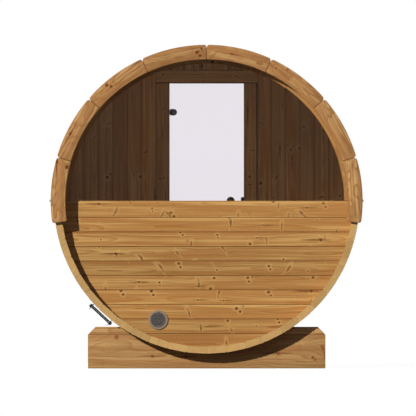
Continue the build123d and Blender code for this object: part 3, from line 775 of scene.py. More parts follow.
    def scuffed_surface(self) -> bpy.types.NodeTree:
        """Draw handled metal and lacquer: cloudy tone, fine speckle and thin scratches.

        Returns:
            The group.
        """
        group = GroupTree("scuffed_surface", "ShaderNodeTree", {
            "Base": Kind.COLOUR, "Worn": Kind.COLOUR, "Roughness": Kind.NUMBER, "Scratches": Kind.VECTOR},
            self.SURFACE)
        given = group.given
        place = group.out("ShaderNodeTexCoord", output="Object")
        cloud = group.eased(group.noise(place, detail=3.0, scale=self.CLOUD_SCALE), *self.CLOUD_FADE)
        speckle = group.noise(place, scale=self.SPECKLE_SCALE)
        scratch = group.eased(group.noise(place * given["Scratches"]), *self.SCRATCH_FADE)
        worn = cloud * self.CLOUD_SHARE + scratch * self.SCRATCH_SHARE
        rough = given["Roughness"] + (cloud * self.CLOUD_ROUGHNESS + self.CLEAR_ROUGHNESS)
        return group.close(Color=group.blend(worn, given["Base"], given["Worn"]), Roughness=rough,
                           Height=scratch * self.SCRATCH_RELIEF + speckle)


def new_material(name: str) -> tuple[bpy.types.Material, Graph, bpy.types.Node]:
    """Make a material with only a Principled shader.

    Args:
        name: The material's name.

    Returns:
        The material, its graph and the shader node.
    """
    material = bpy.data.materials.new(name)
    material.use_nodes = True
    shader = next(node for node in material.node_tree.nodes if node.type == "BSDF_PRINCIPLED")
    return material, Graph(material.node_tree), shader


def surfaced(name: str, group: bpy.types.NodeTree, inputs: Mapping[str, Any], relief: Point,
             uniform: Mapping[str, float]) -> bpy.types.Material:
    """Make a material whose colour, roughness and relief come from a shader group.

    Args:
        name: The material's name.
        group: The shader group.
        inputs: The group's inputs by name.
        relief: How strong the relief is, and how deep.
        uniform: The shader's own values by name.

    Returns:
        The material.
    """
    material, graph, shader = new_material(name)
    surface = graph.outs("ShaderNodeGroup", inputs, node_tree=group)
    strength, depth = relief
    normal = graph.out("ShaderNodeBump", {
        "Height": surface["Height"], "Strength": strength, "Distance": depth})
    graph.feed(shader, {
        "Base Color": surface["Color"], "Roughness": surface["Roughness"], "Normal": normal, **uniform})
    return material


@dataclass(frozen=True)
class WoodFinish:
    """A sawn softwood finish. Its fields are the inputs of the sawn wood group, in its words."""

    light: Colour
    dark: Colour
    warm: Colour
    knot: Colour
    halo: Colour
    end: Colour
    # The painted shade colour of eased edges and joints.
    edge: Colour
    knot_share: float = 0.42
    spike_share: float = 0.55
    ring_width: float = 0.0042
    tone_spread: float = 0.26
    contrast: float = 1.15
    wander: float = 0.035
    waves: float = 1.1
    knot_size: float = 1.0
    pith_pull: float = 1.0
    specular: float = 0.06
    relief: Point = (0.30, 0.0007)

    def material(self, name: str, groups: SurfaceGroups) -> bpy.types.Material:
        """Build the material.

        Args:
            name: Its name.
            groups: The shared shader groups.

        Returns:
            The finished material.
        """
        words = (*groups.WOOD_COLOURS, *groups.WOOD_NUMBERS)
        inputs = {word: getattr(self, word.lower().replace(" ", "_")) for word in words}
        return surfaced(name, groups.wood, inputs, self.relief, {"Specular IOR Level": self.specular})


@dataclass(frozen=True)
class ScuffedFinish:
    """A metal or lacquer finish with handling marks."""

    base: Colour
    worn: Colour
    roughness: float
    metallic: float = 0.0
    specular: float = 0.3
    scratches: Triple = (60.0, 60.0, 600.0)
    relief: Point = (0.25, 0.0002)

    def material(self, name: str, groups: SurfaceGroups) -> bpy.types.Material:
        """Build the material.

        Args:
            name: Its name.
            groups: The shared shader groups.

        Returns:
            The finished material.
        """
        inputs = {"Base": self.base, "Worn": self.worn, "Roughness": self.roughness,
                  "Scratches": self.scratches}
        uniform = {"Metallic": self.metallic, "Specular IOR Level": self.specular}
        return surfaced(name, groups.scuffs, inputs, self.relief, uniform)


@dataclass(frozen=True)
class GlassFinish:
    """Clear sheet glass with a faint tint that drifts over the sheet."""

    tint: Colour
    uneven: Colour
    bend: float = 1.165
    drift_scale: float = 1.6
    drift_fade: Point = (0.3, 0.7)

    def material(self, name: str) -> bpy.types.Material:
        """Build the material.

        Args:
            name: Its name.

        Returns:
            The finished material.
        """
        material, graph, shader = new_material(name)
        place = graph.out("ShaderNodeTexCoord", output="Object")
        drift = graph.eased(graph.noise(place, detail=1.0, scale=self.drift_scale), *self.drift_fade)
        graph.feed(shader, {
            "Base Color": graph.blend(drift, self.tint, self.uneven), "Transmission Weight": 1.0,
            "Roughness": 0.0, "IOR": self.bend})
        return material


class Palette:
    """Every finish of the object, by slot."""

    GOLDEN = dict(light=srgb(203, 161, 96), dark=srgb(148, 99, 49), warm=srgb(158, 105, 54),
                  knot=srgb(92, 45, 16), halo=srgb(212, 171, 104), end=srgb(194, 158, 100))
    PALER = dict(light=srgb(206, 166, 107), dark=srgb(148, 100, 55), warm=srgb(161, 111, 64),
                 knot=srgb(98, 50, 22), halo=srgb(180, 120, 68), end=srgb(195, 156, 102))
    STAINED = dict(light=srgb(112, 76, 48), dark=srgb(72, 44, 26), warm=srgb(86, 52, 30),
                   knot=srgb(50, 30, 18), halo=srgb(112, 76, 48), end=srgb(96, 64, 40))
    # Edge colours, each a painted shade on eased edges and the joints between parts: the boards, the deeper
    # gap round the door frame, the trim and cradles, and the knob.
    SHADED_JOINT = srgb(112, 71, 35)
    DEEP_SHADED_JOINT = srgb(76, 48, 25)
    SHADED_EDGE = srgb(146, 101, 58)
    STAINED_SHADED_EDGE = srgb(90, 60, 36)

    def __init__(self) -> None:
        """Build the materials."""
        groups = SurfaceGroups()
        finishes: dict[Slot, WoodFinish | ScuffedFinish] = {
            Slot.STAVE: WoodFinish(**self.GOLDEN, edge=self.SHADED_JOINT),
            Slot.WALL: WoodFinish(**self.GOLDEN, edge=self.SHADED_JOINT),
            Slot.TRIM: WoodFinish(
                **self.PALER, edge=self.SHADED_EDGE, ring_width=0.0085, contrast=1.5, wander=0.07, waves=3.4,
                pith_pull=0.4, knot_share=0.34, spike_share=0.12, knot_size=1.1, tone_spread=0.10),
            Slot.CRADLE: WoodFinish(
                **self.PALER, edge=self.SHADED_EDGE, ring_width=0.0085, wander=0.06, waves=2.0,
                pith_pull=0.7, knot_share=0.24, spike_share=0.10, knot_size=1.3),
            Slot.FLOOR: WoodFinish(**self.GOLDEN, edge=self.SHADED_JOINT, tone_spread=0.2),
            Slot.FRAME: WoodFinish(**self.GOLDEN, edge=self.DEEP_SHADED_JOINT),
            Slot.KNOB: WoodFinish(**self.STAINED, edge=self.STAINED_SHADED_EDGE, knot_share=0.0, spike_share=0.0),
            Slot.HOOP: ScuffedFinish(srgb(88, 86, 86), srgb(72, 71, 71), roughness=0.42, metallic=1.0),
            Slot.BLACK: ScuffedFinish(srgb(33, 33, 34), srgb(52, 51, 50), roughness=0.68, specular=0.04),
            Slot.COLLAR: ScuffedFinish(srgb(141, 121, 98), srgb(127, 109, 89), roughness=0.45, specular=0.15),
            Slot.GRILLE: ScuffedFinish(srgb(90, 89, 85), srgb(72, 71, 68), roughness=0.55, specular=0.15),
        }
        self.materials = {
            slot: finish.material(f"{slot.value}_finish", groups) for slot, finish in finishes.items()}
        hinge = ScuffedFinish(srgb(46, 42, 41), srgb(62, 57, 55), roughness=0.42, specular=0.45)
        self.hinge = hinge.material("hinge_steel_finish", groups)
        self.pane = GlassFinish(srgb(252, 252, 253), srgb(250, 251, 252)).material("window_glass_finish")
        self.leaf = GlassFinish(srgb(236, 230, 236), srgb(234, 229, 234)).material("door_glass_finish")

    def __getitem__(self, slot: Slot) -> bpy.types.Material:
        """The material of a slot."""
        return self.materials[slot]


def lofted(name: str, rings: Sequence[Sequence[Triple]]) -> bpy.types.Mesh:
    """Make a closed mesh through a row of rings with as many points each, capped at both ends.

    Args:
        name: The mesh's name.
        rings: The rings, each a closed line of points.

    Returns:
        The mesh, with its faces pointing outwards.
    """
    shape = bmesh.new()
    lines = [[shape.verts.new(point) for point in ring] for ring in rings]
    count = len(lines[0])
    shape.faces.new(lines[0])
    shape.faces.new(lines[-1])
    for line, following in zip(lines, lines[1:]):
        for index in range(count):
            after = (index + 1) % count
            shape.faces.new((line[index], line[after], following[after], following[index]))
    bmesh.ops.recalc_face_normals(shape, faces=shape.faces)
    mesh = bpy.data.meshes.new(name)
    shape.to_mesh(mesh)
    shape.free()
    return mesh


def plate(name: str, outline: Sequence[Point], thickness: float) -> bpy.types.Mesh:
    """A flat board in the board frame: outline in X and Y, thickness about Z = 0."""
    return lofted(name, [[(x, y, z) for x, y in outline] for z in (-thickness / 2, thickness / 2)])


def prism(name: str, section: Sequence[Point], length: float) -> bpy.types.Mesh:
    """A straight board in the board frame: section in Y and Z, length along X."""
    return lofted(name, [[(x, y, z) for y, z in section] for x in (-length / 2, length / 2)])


def arc(radius: float, start: float, end: float, steps: int, middle: float = 0.0) -> list[Point]:
    """Points on a circle about (0, middle), by angles clockwise from the top."""
    angles = [start + (end - start) * index / steps for index in range(steps + 1)]
    return [(radius * math.sin(angle), radius * math.cos(angle) + middle) for angle in angles]


def rounded(points: Sequence[Point], radii: Mapping[int, float], steps: int = 3) -> list[Point]:
    """Round chosen corners of an outline.

    Args:
        points: The outline.
        radii: The radius of each corner to round, by its place in the outline.
        steps: How many straight pieces each rounding has.

    Returns:
        The new outline.
    """
    made: list[Point] = []
    for index, point in enumerate(points):
        if index not in radii:
            made.append(point)
            continue
        radius, corner = radii[index], Vector(point)
        back = (Vector(points[index - 1]) - corner).normalized()
        ahead = (Vector(points[(index + 1) % len(points)]) - corner).normalized()
        half = math.acos(max(-1.0, min(1.0, back.dot(ahead)))) / 2
        centre = corner + (back + ahead).normalized() * (radius / math.sin(half))
        start = corner + back * (radius / math.tan(half)) - centre
        end = corner + ahead * (radius / math.tan(half)) - centre
        for step in range(steps + 1):
            share = step / steps
            spoke = (start * (1 - share) + end * share).normalized() * radius
            made.append(tuple(centre + spoke))
    return made


def bar_section(width: float, depth: float, edge: float, rows: int = 1) -> list[Point]:
    """Draw the section of a board with rounded edges.

    Args:
        width: Its width, along Y.
        depth: Its thickness, along Z.
        edge: The radius of its edges.
        rows: How many strips each wide face is divided into.

    Returns:
        The section's outline.
    """
    y, z = width / 2, depth / 2
    corners = [(-y, -z), (y, -z), (y, z), (-y, z)]
    outline = rounded(corners, dict.fromkeys(range(len(corners)), edge))
    made: list[Point] = []
    for index, (across, out) in enumerate(outline):
        made.append((across, out))
        span = outline[(index + 1) % len(outline)][0] - across
        if abs(span) > width / 2:
            made.extend((across + span * (row / rows), out) for row in range(1, rows))
    return made


@dataclass(frozen=True)
class Box:
    """The box of a frame node at rest."""

    low: Vector
    high: Vector

    @classmethod
    def of(cls, node: str) -> "Box":
        """The box of a node by its name."""
        return cls(*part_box(node))

    @property
    def size(self) -> Vector:
        """The lengths of its sides."""
        return self.high - self.low

    @property
    def middle(self) -> Vector:
        """Its middle."""
        return (self.low + self.high) / 2


@dataclass(frozen=True)
class Piece:
    """What a piece is called, is finished in, stands for and rides on."""

    name: str
    slot: Slot
    stands_for: tuple[str, ...] = ()
    body: Body = Body.BARREL
    bevel: float = 0.0
    material: bpy.types.Material | None = None


@dataclass
class Workshop:
    """Turns meshes and trees into finished pieces that ride on the frame.

    The seed is the number of a piece's first board, and each board draws its figure by its number.
    """

    SMOOTH_BELOW = math.radians(32)
    EASED_FROM = math.radians(50)
    EASE_SEGMENTS = 2
    SEED_STEP = 100.0

    palette: Palette
    trees: BoardTrees
    seed: float = 52.0

    def make(self, piece: Piece, mesh: bpy.types.Mesh, tree: bpy.types.NodeTree,
             sizes: Mapping[str, Any]) -> None:
        """Run a geometry tree on a mesh and finish the result as a plain mesh.

        Args:
            piece: What is made. Its bevel eases the mesh's sharp edges before the tree runs.
            mesh: What the tree starts from.
            tree: The geometry tree.
            sizes: The tree's inputs by name.
        """
        made = linked(piece.name, mesh)
        if piece.bevel:
            ease = made.modifiers.new("eased_edges", "BEVEL")
            ease.width = piece.bevel
            ease.segments = self.EASE_SEGMENTS
            ease.limit_method = "ANGLE"
            ease.angle_limit = self.EASED_FROM
        grow = made.modifiers.new("grown", "NODES")
        grow.node_group = tree
        wanted = {"Seed": self.seed, "Material": piece.material or self.palette[piece.slot], **sizes}
        for socket in tree.interface.items_tree:
            if socket.in_out == "INPUT" and socket.name in wanted:
                value = wanted[socket.name]
                grow[socket.identifier] = value.value if isinstance(value, Enum) else value
        self.seed += self.SEED_STEP
        view = bpy.context.evaluated_depsgraph_get()
        plain = bpy.data.meshes.new_from_object(
            made.evaluated_get(view), preserve_all_data_layers=True, depsgraph=view)
        made.modifiers.clear()
        made.data = plain
        plain.name = piece.name
        self.finish(piece, made)

    def finish(self, piece: Piece, made: bpy.types.Object) -> None:
        """Give a piece its shading, its slot's material where it has none, and its body, and let it replace
        the nodes that it stands for.

        Args:
            piece: What it is.
            made: Its object.
        """
        if not made.data.materials:
            made.data.materials.append(self.palette[piece.slot])
        made.data.shade_smooth()
        made.data.set_sharp_from_angle(angle=self.SMOOTH_BELOW)
        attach(made, piece.body.value)
        if piece.stands_for:
            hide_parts(*piece.stands_for)
        LOG.info("%s: %d faces, on %s", made.name, len(made.data.polygons), piece.body.value)

    @staticmethod
    def dress(material: bpy.types.Material, *nodes: str) -> None:
        """Give frame nodes a finish.

        Args:
            material: The finish.
            nodes: The names of the nodes.
        """
        for node in nodes:
            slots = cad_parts[node].data.materials
            slots.clear()
            slots.append(material)
            LOG.info("%s: dressed in %s", node, material.name)

    @staticmethod
    def spots(places: Sequence[Triple], aim: Triple) -> bpy.types.Mesh:
        """Make a mesh of bare points for fittings that all face one way.

        Args:
            places: The points.
            aim: The way that the fittings face.

        Returns:
            The mesh.
        """
        mesh = bpy.data.meshes.new("spots")
        mesh.from_pydata(places, [], [])
        facing = mesh.attributes.new("aim", "FLOAT_VECTOR", "POINT")
        facing.data.foreach_set("vector", [*aim] * len(places))
        return mesh


@dataclass(frozen=True)
class Barrel:
    """The sizes that the sub-assemblies share, in metres."""

    axis: float
    length: float
    outer_radius: float = 1.030
    stave_count: int = 48
    stave_thickness: float = 0.045
    croze_depth: float = 0.012
    rim_clearance: float = 0.0005
    board_pitch: float = 0.0976
    board_gap: float = 0.00004
    board_edge: float = 0.0035
    board_rows: int = 18

    @classmethod
    def from_frame(cls) -> "Barrel":
        """Read the axis and the length from the frame."""
        return cls(axis=Box.of("door_jamb_left").middle.z, length=Box.of("staves_top").size.y)

    @property
    def half_angle(self) -> float:
        """Half the angle that a stave takes up."""
        return math.pi / self.stave_count

    @property
    def outer_flat(self) -> float:
        """From the axis to the middle of a stave's outer face."""
        return self.outer_radius * math.cos(self.half_angle)

    @property
    def inner_flat(self) -> float:
        """From the axis to the middle of a stave's inner face."""
        return self.outer_flat - self.stave_thickness

    @property
    def wall_radius(self) -> float:
        """The radius of the end walls, seated in the croze."""
        return self.inner_flat + self.croze_depth - self.rim_clearance

    def on_axis(self, y: float) -> Triple:
        """The point of the axis at some Y."""
        return (0, y, self.axis)

    def below(self, radius: float, level: float, steps: int) -> list[Point]:
        """A circle's curve below a level, from right to left, in X and Z."""
        reach = math.acos((self.axis - level) / radius)
        return arc(radius, math.pi - reach, math.pi + reach, steps, self.axis)

    def wall_section(self, pitch: float, thickness: float) -> list[Point]:
        """The section of a wall board."""
        return bar_section(pitch - self.board_gap, thickness, self.board_edge, self.board_rows)


@dataclass
class Assembly:
    """A sub-assembly, whose pieces are made in the workshop to the barrel's sizes."""

    # A wall tree stretches a board of this length to its chord.
    UNIT_BOARD = 2.0
    # Further out than any wall's edge, so that boards run along the whole chord.
    WHOLE_CHORD = -2.0

    shop: Workshop
    barrel: Barrel

    def make_wall(self, piece: Piece, section: Sequence[Point], y: float, sizes: Mapping[str, Any]) -> None:
        """Make boards that are cropped to the end wall's circle, with a round hole where its size is given.

        Args:
            piece: What is made.
            section: The section of a board.
            y: The middle of the wall.
            sizes: The tree's inputs by name. Near is where the boards start along their length.
        """
        trees = self.shop.trees
        tree = trees.pierced_wall if "Hole Radius" in sizes else trees.wall
        self.shop.make(piece, prism("board", section, self.UNIT_BOARD), tree, {
            "Radius": self.barrel.wall_radius, "Near": self.WHOLE_CHORD, "Place": self.barrel.on_axis(y),
            **sizes})


@dataclass
class StaveShell(Assembly):
    """The ring of tongued staves, with the croze that seats each end wall."""

    joint_gap: float = 0.0003
    inner_chamfer: float = 0.004
    outer_chamfer: float = 0.006
    tongue_depth: float = 0.006
    tongue_width: float = 0.015
    tongue_crest_share: float = 0.55
    croze_clearance: float = 0.0003
    croze_chamfer: float = 0.0001

    def beside_joint(self, side: int, distance: float, offset: float) -> Point:
        """Find a point of the stave's section beside one of its joints.

        Args:
            side: Which joint, +1 or -1.
            distance: How far from the barrel's axis.
            offset: How far out of the stave.

        Returns:
            The point, across the stave and out from the axis.
        """
        sine, cosine = math.sin(self.barrel.half_angle), math.cos(self.barrel.half_angle)
        return (side * (distance * sine + offset * cosine), distance * cosine - offset * sine)

    def section(self, inner_flat: float, inner_chamfer: float) -> list[Point]:
        """Draw the section of a stave: bevelled sides with a tongue and a groove.

        Args:
            inner_flat: From the axis to the inner face.
            inner_chamfer: The chamfer of the inner edges.

        Returns:
            The section's outline.
        """
        barrel, gap = self.barrel, self.joint_gap
        sine, cosine = math.sin(barrel.half_angle), math.cos(barrel.half_angle)
        inner_radius = inner_flat / cosine
        middle = (barrel.outer_radius + barrel.inner_flat / cosine) / 2
        outer_edge = barrel.outer_radius - self.outer_chamfer
        inner_edge = inner_radius + inner_chamfer
        outer_half = barrel.outer_radius * sine - gap / 2 - self.outer_chamfer
        inner_half = inner_radius * sine - gap / 2 - inner_chamfer
        root = self.tongue_width / 2
        crest = root * self.tongue_crest_share
        side, tip, bed = -gap / 2, self.tongue_depth, -self.tongue_depth - gap
        tongue = [(outer_edge, side), (middle + root, side), (middle + crest, tip), (middle - crest, tip),
                  (middle - root, side), (inner_edge, side)]
        groove = [(inner_edge, side), (middle - root - gap, side), (middle - crest - gap, bed),
                  (middle + crest + gap, bed), (middle + root + gap, side), (outer_edge, side)]
        return [(outer_half, barrel.outer_flat), *(self.beside_joint(1, *step) for step in tongue),
                (inner_half, inner_flat), (-inner_half, inner_flat),
                *(self.beside_joint(-1, *step) for step in groove), (-outer_half, barrel.outer_flat)]

    def build(self) -> None:
        """Make the staves."""
        barrel = self.barrel
        plain = self.section(barrel.inner_flat, self.inner_chamfer)
        crozed = self.section(barrel.inner_flat + barrel.croze_depth, self.croze_chamfer)
        wall = Box.of("window_sill_board")
        groove_out = -wall.low.y + self.croze_clearance
        groove_in = -wall.high.y - self.croze_clearance
        half = [(barrel.length / 2, plain), (groove_out, plain), (groove_out, crozed), (groove_in, crozed),
                (groove_in, plain)]
        stations = [(-x, section) for x, section in half] + [(x, section) for x, section in reversed(half)]
        stave = lofted("stave", [[(x, y, z) for y, z in section] for x, section in stations])
        nodes = tuple(f"staves_{side}" for side in ("right", "top", "left", "bottom"))
        self.shop.make(Piece("staves", Slot.STAVE, nodes), stave, self.shop.trees.ring, {
            "Count": barrel.stave_count, "First Angle": barrel.half_angle,
            "Step Angle": barrel.half_angle * 2, "Seat": Seat.ALONG_BARREL, "Place": barrel.on_axis(0),
            "Centre": (0, 0, (barrel.outer_flat + barrel.inner_flat) / 2)})


@dataclass
class WindowEnd(Assembly):
    """The half wall of level boards, the sill board, the arched frame, the pane and the vent."""

    sill_round: float = 0.011
    sill_round_steps: int = 4
    arch_segments: int = 8
    arch_edge: float = 0.003
    arch_edge_steps: int = 2
    arch_steps: int = 12
    arch_foot: float = 0.001
    pane_clearance: float = 0.0005
    pane_edge_clearance: float = 0.0008
    vent_hole_clearance: float = 0.0004
    vent_tube_wall: float = 0.003
    screen_pitch: float = 0.0042
    screen_wire: float = 0.0009

    def build(self) -> None:
        """Make and dress the window end."""
        self.build_wall()
        self.build_sill()
        self.build_arch()
        self.build_vent()
        self.shop.dress(self.shop.palette.pane, "window_pane")

    def half_groove(self) -> float:
        """Half the width of the groove that the pane stands in."""
        return Box.of("window_pane").size.y / 2 + self.pane_clearance

    def build_wall(self) -> None:
        """Make the level boards, drilled for the vent."""
        barrel, box, vent = self.barrel, Box.of("window_wall_boards"), Box.of("vent_grille")
        top = Box.of("window_sill_board").low.z - barrel.axis
        hole = vent.size.x / 2 + self.vent_tube_wall + self.vent_hole_clearance
        piece = Piece("window_wall_boards_planed", Slot.WALL, ("window_wall_boards",))
        section = barrel.wall_section(barrel.board_pitch, box.size.y)
        self.make_wall(piece, section, box.middle.y, {
            "Count": math.ceil((barrel.inner_flat + top) / barrel.board_pitch),
            "First": top - barrel.board_pitch / 2, "Pitch": -barrel.board_pitch,
            "Seat": Seat.FACING_WINDOW_END, "Hole Radius": hole,
            "Hole Place": (vent.middle.x, vent.middle.z - barrel.axis, 0)})

    def build_sill(self) -> None:
        """Make the sill board with its rounded top edges and the pane's groove."""
        box, edge, groove = Box.of("window_sill_board"), self.barrel.board_edge, self.half_groove()
        foot = Box.of("window_pane").low.z - self.pane_edge_clearance - box.middle.z
        y, depth = box.size.z / 2, box.size.y / 2
        outline = [(-y, -depth), (y, -depth), (y, -groove), (foot, -groove),
                   (foot, groove), (y, groove), (y, depth), (-y, depth)]
        corners = {0: edge, 1: self.sill_round, 6: self.sill_round, 7: edge}
        piece = Piece("window_sill_board_planed", Slot.WALL, ("window_sill_board",))
        section = rounded(outline, corners, self.sill_round_steps)
        self.make_wall(piece, section, box.middle.y, {
            "Count": 1, "First": box.middle.z - self.barrel.axis, "Pitch": box.size.z,
            "Seat": Seat.FACING_WINDOW_END})

    def build_arch(self) -> None:
        """Make the arched frame in segments, grooved for the pane."""
        box, groove, outer = Box.of("window_arch"), self.half_groove(), self.barrel.wall_radius
        corners = [vertex.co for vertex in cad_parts["window_arch"].data.vertices]
        inner = min(abs(corner.x) for corner in corners if corner.z < self.barrel.axis + self.arch_foot)
        depth = box.size.y / 2
        seat = Box.of("window_pane").high.x + self.pane_edge_clearance
        outline = [(inner, -depth), (outer, -depth), (outer, depth), (inner, depth),
                   (inner, groove), (seat, groove), (seat, -groove), (inner, -groove)]
        section = rounded(outline, {0: self.arch_edge, 3: self.arch_edge}, self.arch_edge_steps)
        step = math.pi / self.arch_segments
        half = step / 2 - self.barrel.board_gap / 2 / inner
        angles = [half * (2 * index / self.arch_steps - 1) for index in range(self.arch_steps + 1)]
        rings = [[(r * math.sin(angle), r * math.cos(angle), z) for r, z in section] for angle in angles]
        piece = Piece("window_arch_planed", Slot.WALL, ("window_arch",))
        self.shop.make(piece, lofted("arch", rings), self.shop.trees.ring, {
            "Count": self.arch_segments, "First Angle": step / 2 - QUARTER, "Step Angle": step,
            "Centre": (0, (inner + outer) / 2, 0), "Seat": Seat.FACING_WINDOW_END,
            "Place": self.barrel.on_axis(box.middle.y)})

    def build_vent(self) -> None:
        """Dress the vent and put a fine screen behind its slots."""
        self.shop.dress(self.shop.palette[Slot.COLLAR], "vent_collar")
        self.shop.dress(self.shop.palette[Slot.GRILLE], "vent_grille")
        box = Box.of("vent_grille")
        screen = bpy.data.meshes.new("screen")
        self.shop.make(Piece("vent_screen", Slot.GRILLE), screen, self.shop.trees.wires, {
            "Radius": box.size.x / 2, "Pitch": self.screen_pitch, "Wire": self.screen_wire,
            "Count": int(box.size.x / self.screen_pitch) - 1, "Seat": Seat.FACING_DOOR_END,
            "Place": (box.middle.x, box.high.y + self.screen_wire, box.middle.z)})


@dataclass
class EndTrim(Assembly):
    """The eight curved boards that face the upper stave ends, at both ends of the barrel."""

    segment_angle: float = math.radians(24.6)
    count: int = 8
    width: float = 0.100
    joint_gap: float = 0.0008
    outer_corner: float = 0.018
    inner_corner: float = 0.007
    edge: float = 0.004
    arc_steps: int = 22
    screw_inset: float = 0.038
    screw_radius: float = 0.0036
    screw_height: float = 0.0012
    screw_socket_share: float = 0.45
    screw_width_shares: Point = (0.27, 0.73)

    @property
    def outer(self) -> float:
        """The radius of the boards' outer edge."""
        return Box.of("window_trim_crown").high.z - self.barrel.axis

    @property
    def inner(self) -> float:
        """The radius of the boards' inner edge."""
        return self.outer - self.width

    def build(self) -> None:
        """Make the trim and its screws at both ends."""
        for end in End:
            self.build_ring(end)
            self.build_screws(end)

    def build_ring(self, end: End) -> None:
        """Make the curved boards.

        Args:
            end: Which end they face.
        """
        box, steps = Box.of(f"{end.word}_trim_crown"), self.arc_steps
        half = (self.segment_angle - self.joint_gap / self.outer) / 2
        outline = arc(self.outer, -half, half, steps) + arc(self.inner, half, -half, steps)
        corners = {0: self.outer_corner, steps: self.outer_corner,
                   steps + 1: self.inner_corner, steps * 2 + 1: self.inner_corner}
        board = plate("trim_board", rounded(outline, corners), box.size.y)
        nodes = tuple(f"{end.word}_trim_{part}" for part in ("crown", "shoulder", "side", "foot"))
        piece = Piece(f"{end.word}_trim", Slot.TRIM, nodes, bevel=self.edge)
        self.shop.make(piece, board, self.shop.trees.ring, {
            "Count": self.count, "First Angle": self.segment_angle * (1 - self.count) / 2,
            "Step Angle": self.segment_angle, "Centre": (0, (self.inner + self.outer) / 2, 0),
            "Seat": Seat.FACING_WINDOW_END if end is End.WINDOW else Seat.FACING_DOOR_END,
            "Place": self.barrel.on_axis(box.middle.y)})

    def build_screws(self, end: End) -> None:
        """Set two screws near each end of every board.

        Args:
            end: Which end they face.
        """
        box = Box.of(f"{end.word}_trim_crown")
        face = box.low.y if end is End.WINDOW else box.high.y
        places = []
        for index in range(self.count):
            middle = self.segment_angle * (index + (1 - self.count) / 2)
            for side in (-1, 1):
                for share in self.screw_width_shares:
                    radius = self.inner + self.width * share
                    angle = middle + side * (self.segment_angle / 2 - self.screw_inset / radius)
                    places.append((radius * math.sin(angle), face - end.value * self.screw_height,
                                   self.barrel.axis + radius * math.cos(angle)))
        piece = Piece(f"{end.word}_trim_screws", Slot.BLACK)
        self.shop.make(piece, self.shop.spots(places, (0, end.value, 0)), self.shop.trees.heads, {
            "Head Radius": self.screw_radius, "Head Height": self.screw_height,
            "Socket Radius": self.screw_radius * self.screw_socket_share})


@dataclass
class Cradles(Assembly):
    """The two cradles: a beam hollowed to the barrel, and mitred blocks on it."""

    fit: float = 0.0003
    edge: float = 0.003
    beam_steps: int = 28
    block_steps: int = 6

    def build(self) -> None:
        """Make the beams and the blocks of both cradles."""
        beam, block = Box.of("window_cradle_beam"), Box.of("window_cradle_blocks")
        radius, half = self.barrel.outer_radius + self.fit, beam.high.x
        hollow = self.barrel.below(radius, beam.high.z, self.beam_steps)
        outline = [(-half, 0.0), (half, 0.0), (half, beam.high.z), *hollow, (-half, beam.high.z)]
        self.build_pair("cradle_beams", "beam", outline)

        angles = [math.pi - math.acos((self.barrel.axis - level) / radius)
                  for level in (block.low.z, block.high.z)]
        inside = arc(radius, *angles, self.block_steps, self.barrel.axis)
        corners = [(half, block.low.z), (half - block.size.z, block.high.z), *reversed(inside)]
        for side, word in ((-1, "left"), (1, "right")):
            self.build_pair(f"cradle_blocks_{word}", "blocks", [(side * x, z) for x, z in corners])

    def build_pair(self, name: str, part: str, outline: Sequence[Point]) -> None:
        """Make the same piece for both cradles.

        Args:
            name: The piece's name.
            part: The word for it in the nodes' names.
            outline: Its outline in X and Z.
        """
        nodes = tuple(f"{end.word}_cradle_{part}" for end in End)
        near, far = (Box.of(node) for node in nodes)
        piece = Piece(name, Slot.CRADLE, nodes, bevel=self.edge)
        self.shop.make(piece, plate(part, outline, near.size.y), self.shop.trees.row, {
            "Count": len(nodes), "First": (0, near.middle.y, 0), "Step": (0, far.low.y - near.low.y, 0),
            "Centre": (0, near.middle.z, 0), "Seat": Seat.FACING_WINDOW_END})


@dataclass
class FloorDeck(Assembly):
    """The walking boards and the bearers under them."""

    slat_width: float = 0.095
    slat_count: int = 8
    slat_edge: float = 0.003
    bearer_count: int = 3
    bearer_thickness: float = 0.060
    bearer_edge: float = 0.002
    bearer_steps: int = 20
    fit: float = 0.0003

    def build(self) -> None:
        """Make the slats and the bearers."""
        box = Box.of("floor_slats")
        slat = prism("slat", bar_section(self.slat_width, box.size.z, self.slat_edge), box.size.y)
        pitch = (box.size.x - self.slat_width) / (self.slat_count - 1)
        piece = Piece("floor_slats_planed", Slot.FLOOR, ("floor_slats",))
        self.shop.make(piece, slat, self.shop.trees.row, {
            "Count": self.slat_count, "Step": (pitch, 0, 0), "Seat": Seat.ALONG_BARREL,
            "First": (box.low.x + self.slat_width / 2, box.middle.y, box.middle.z)})

        box = Box.of("floor_bearers")
        outline = self.barrel.below(self.barrel.inner_flat - self.fit, box.high.z, self.bearer_steps)
        pitch = (box.size.y - self.bearer_thickness) / (self.bearer_count - 1)
        piece = Piece("floor_bearers_sawn", Slot.FLOOR, ("floor_bearers",), bevel=self.bearer_edge)
        self.shop.make(piece, plate("bearer", outline, self.bearer_thickness), self.shop.trees.row, {
            "Count": self.bearer_count, "First": (0, box.low.y + self.bearer_thickness / 2, 0),
            "Step": (0, pitch, 0), "Centre": (0, box.middle.z, 0), "Seat": Seat.FACING_WINDOW_END})


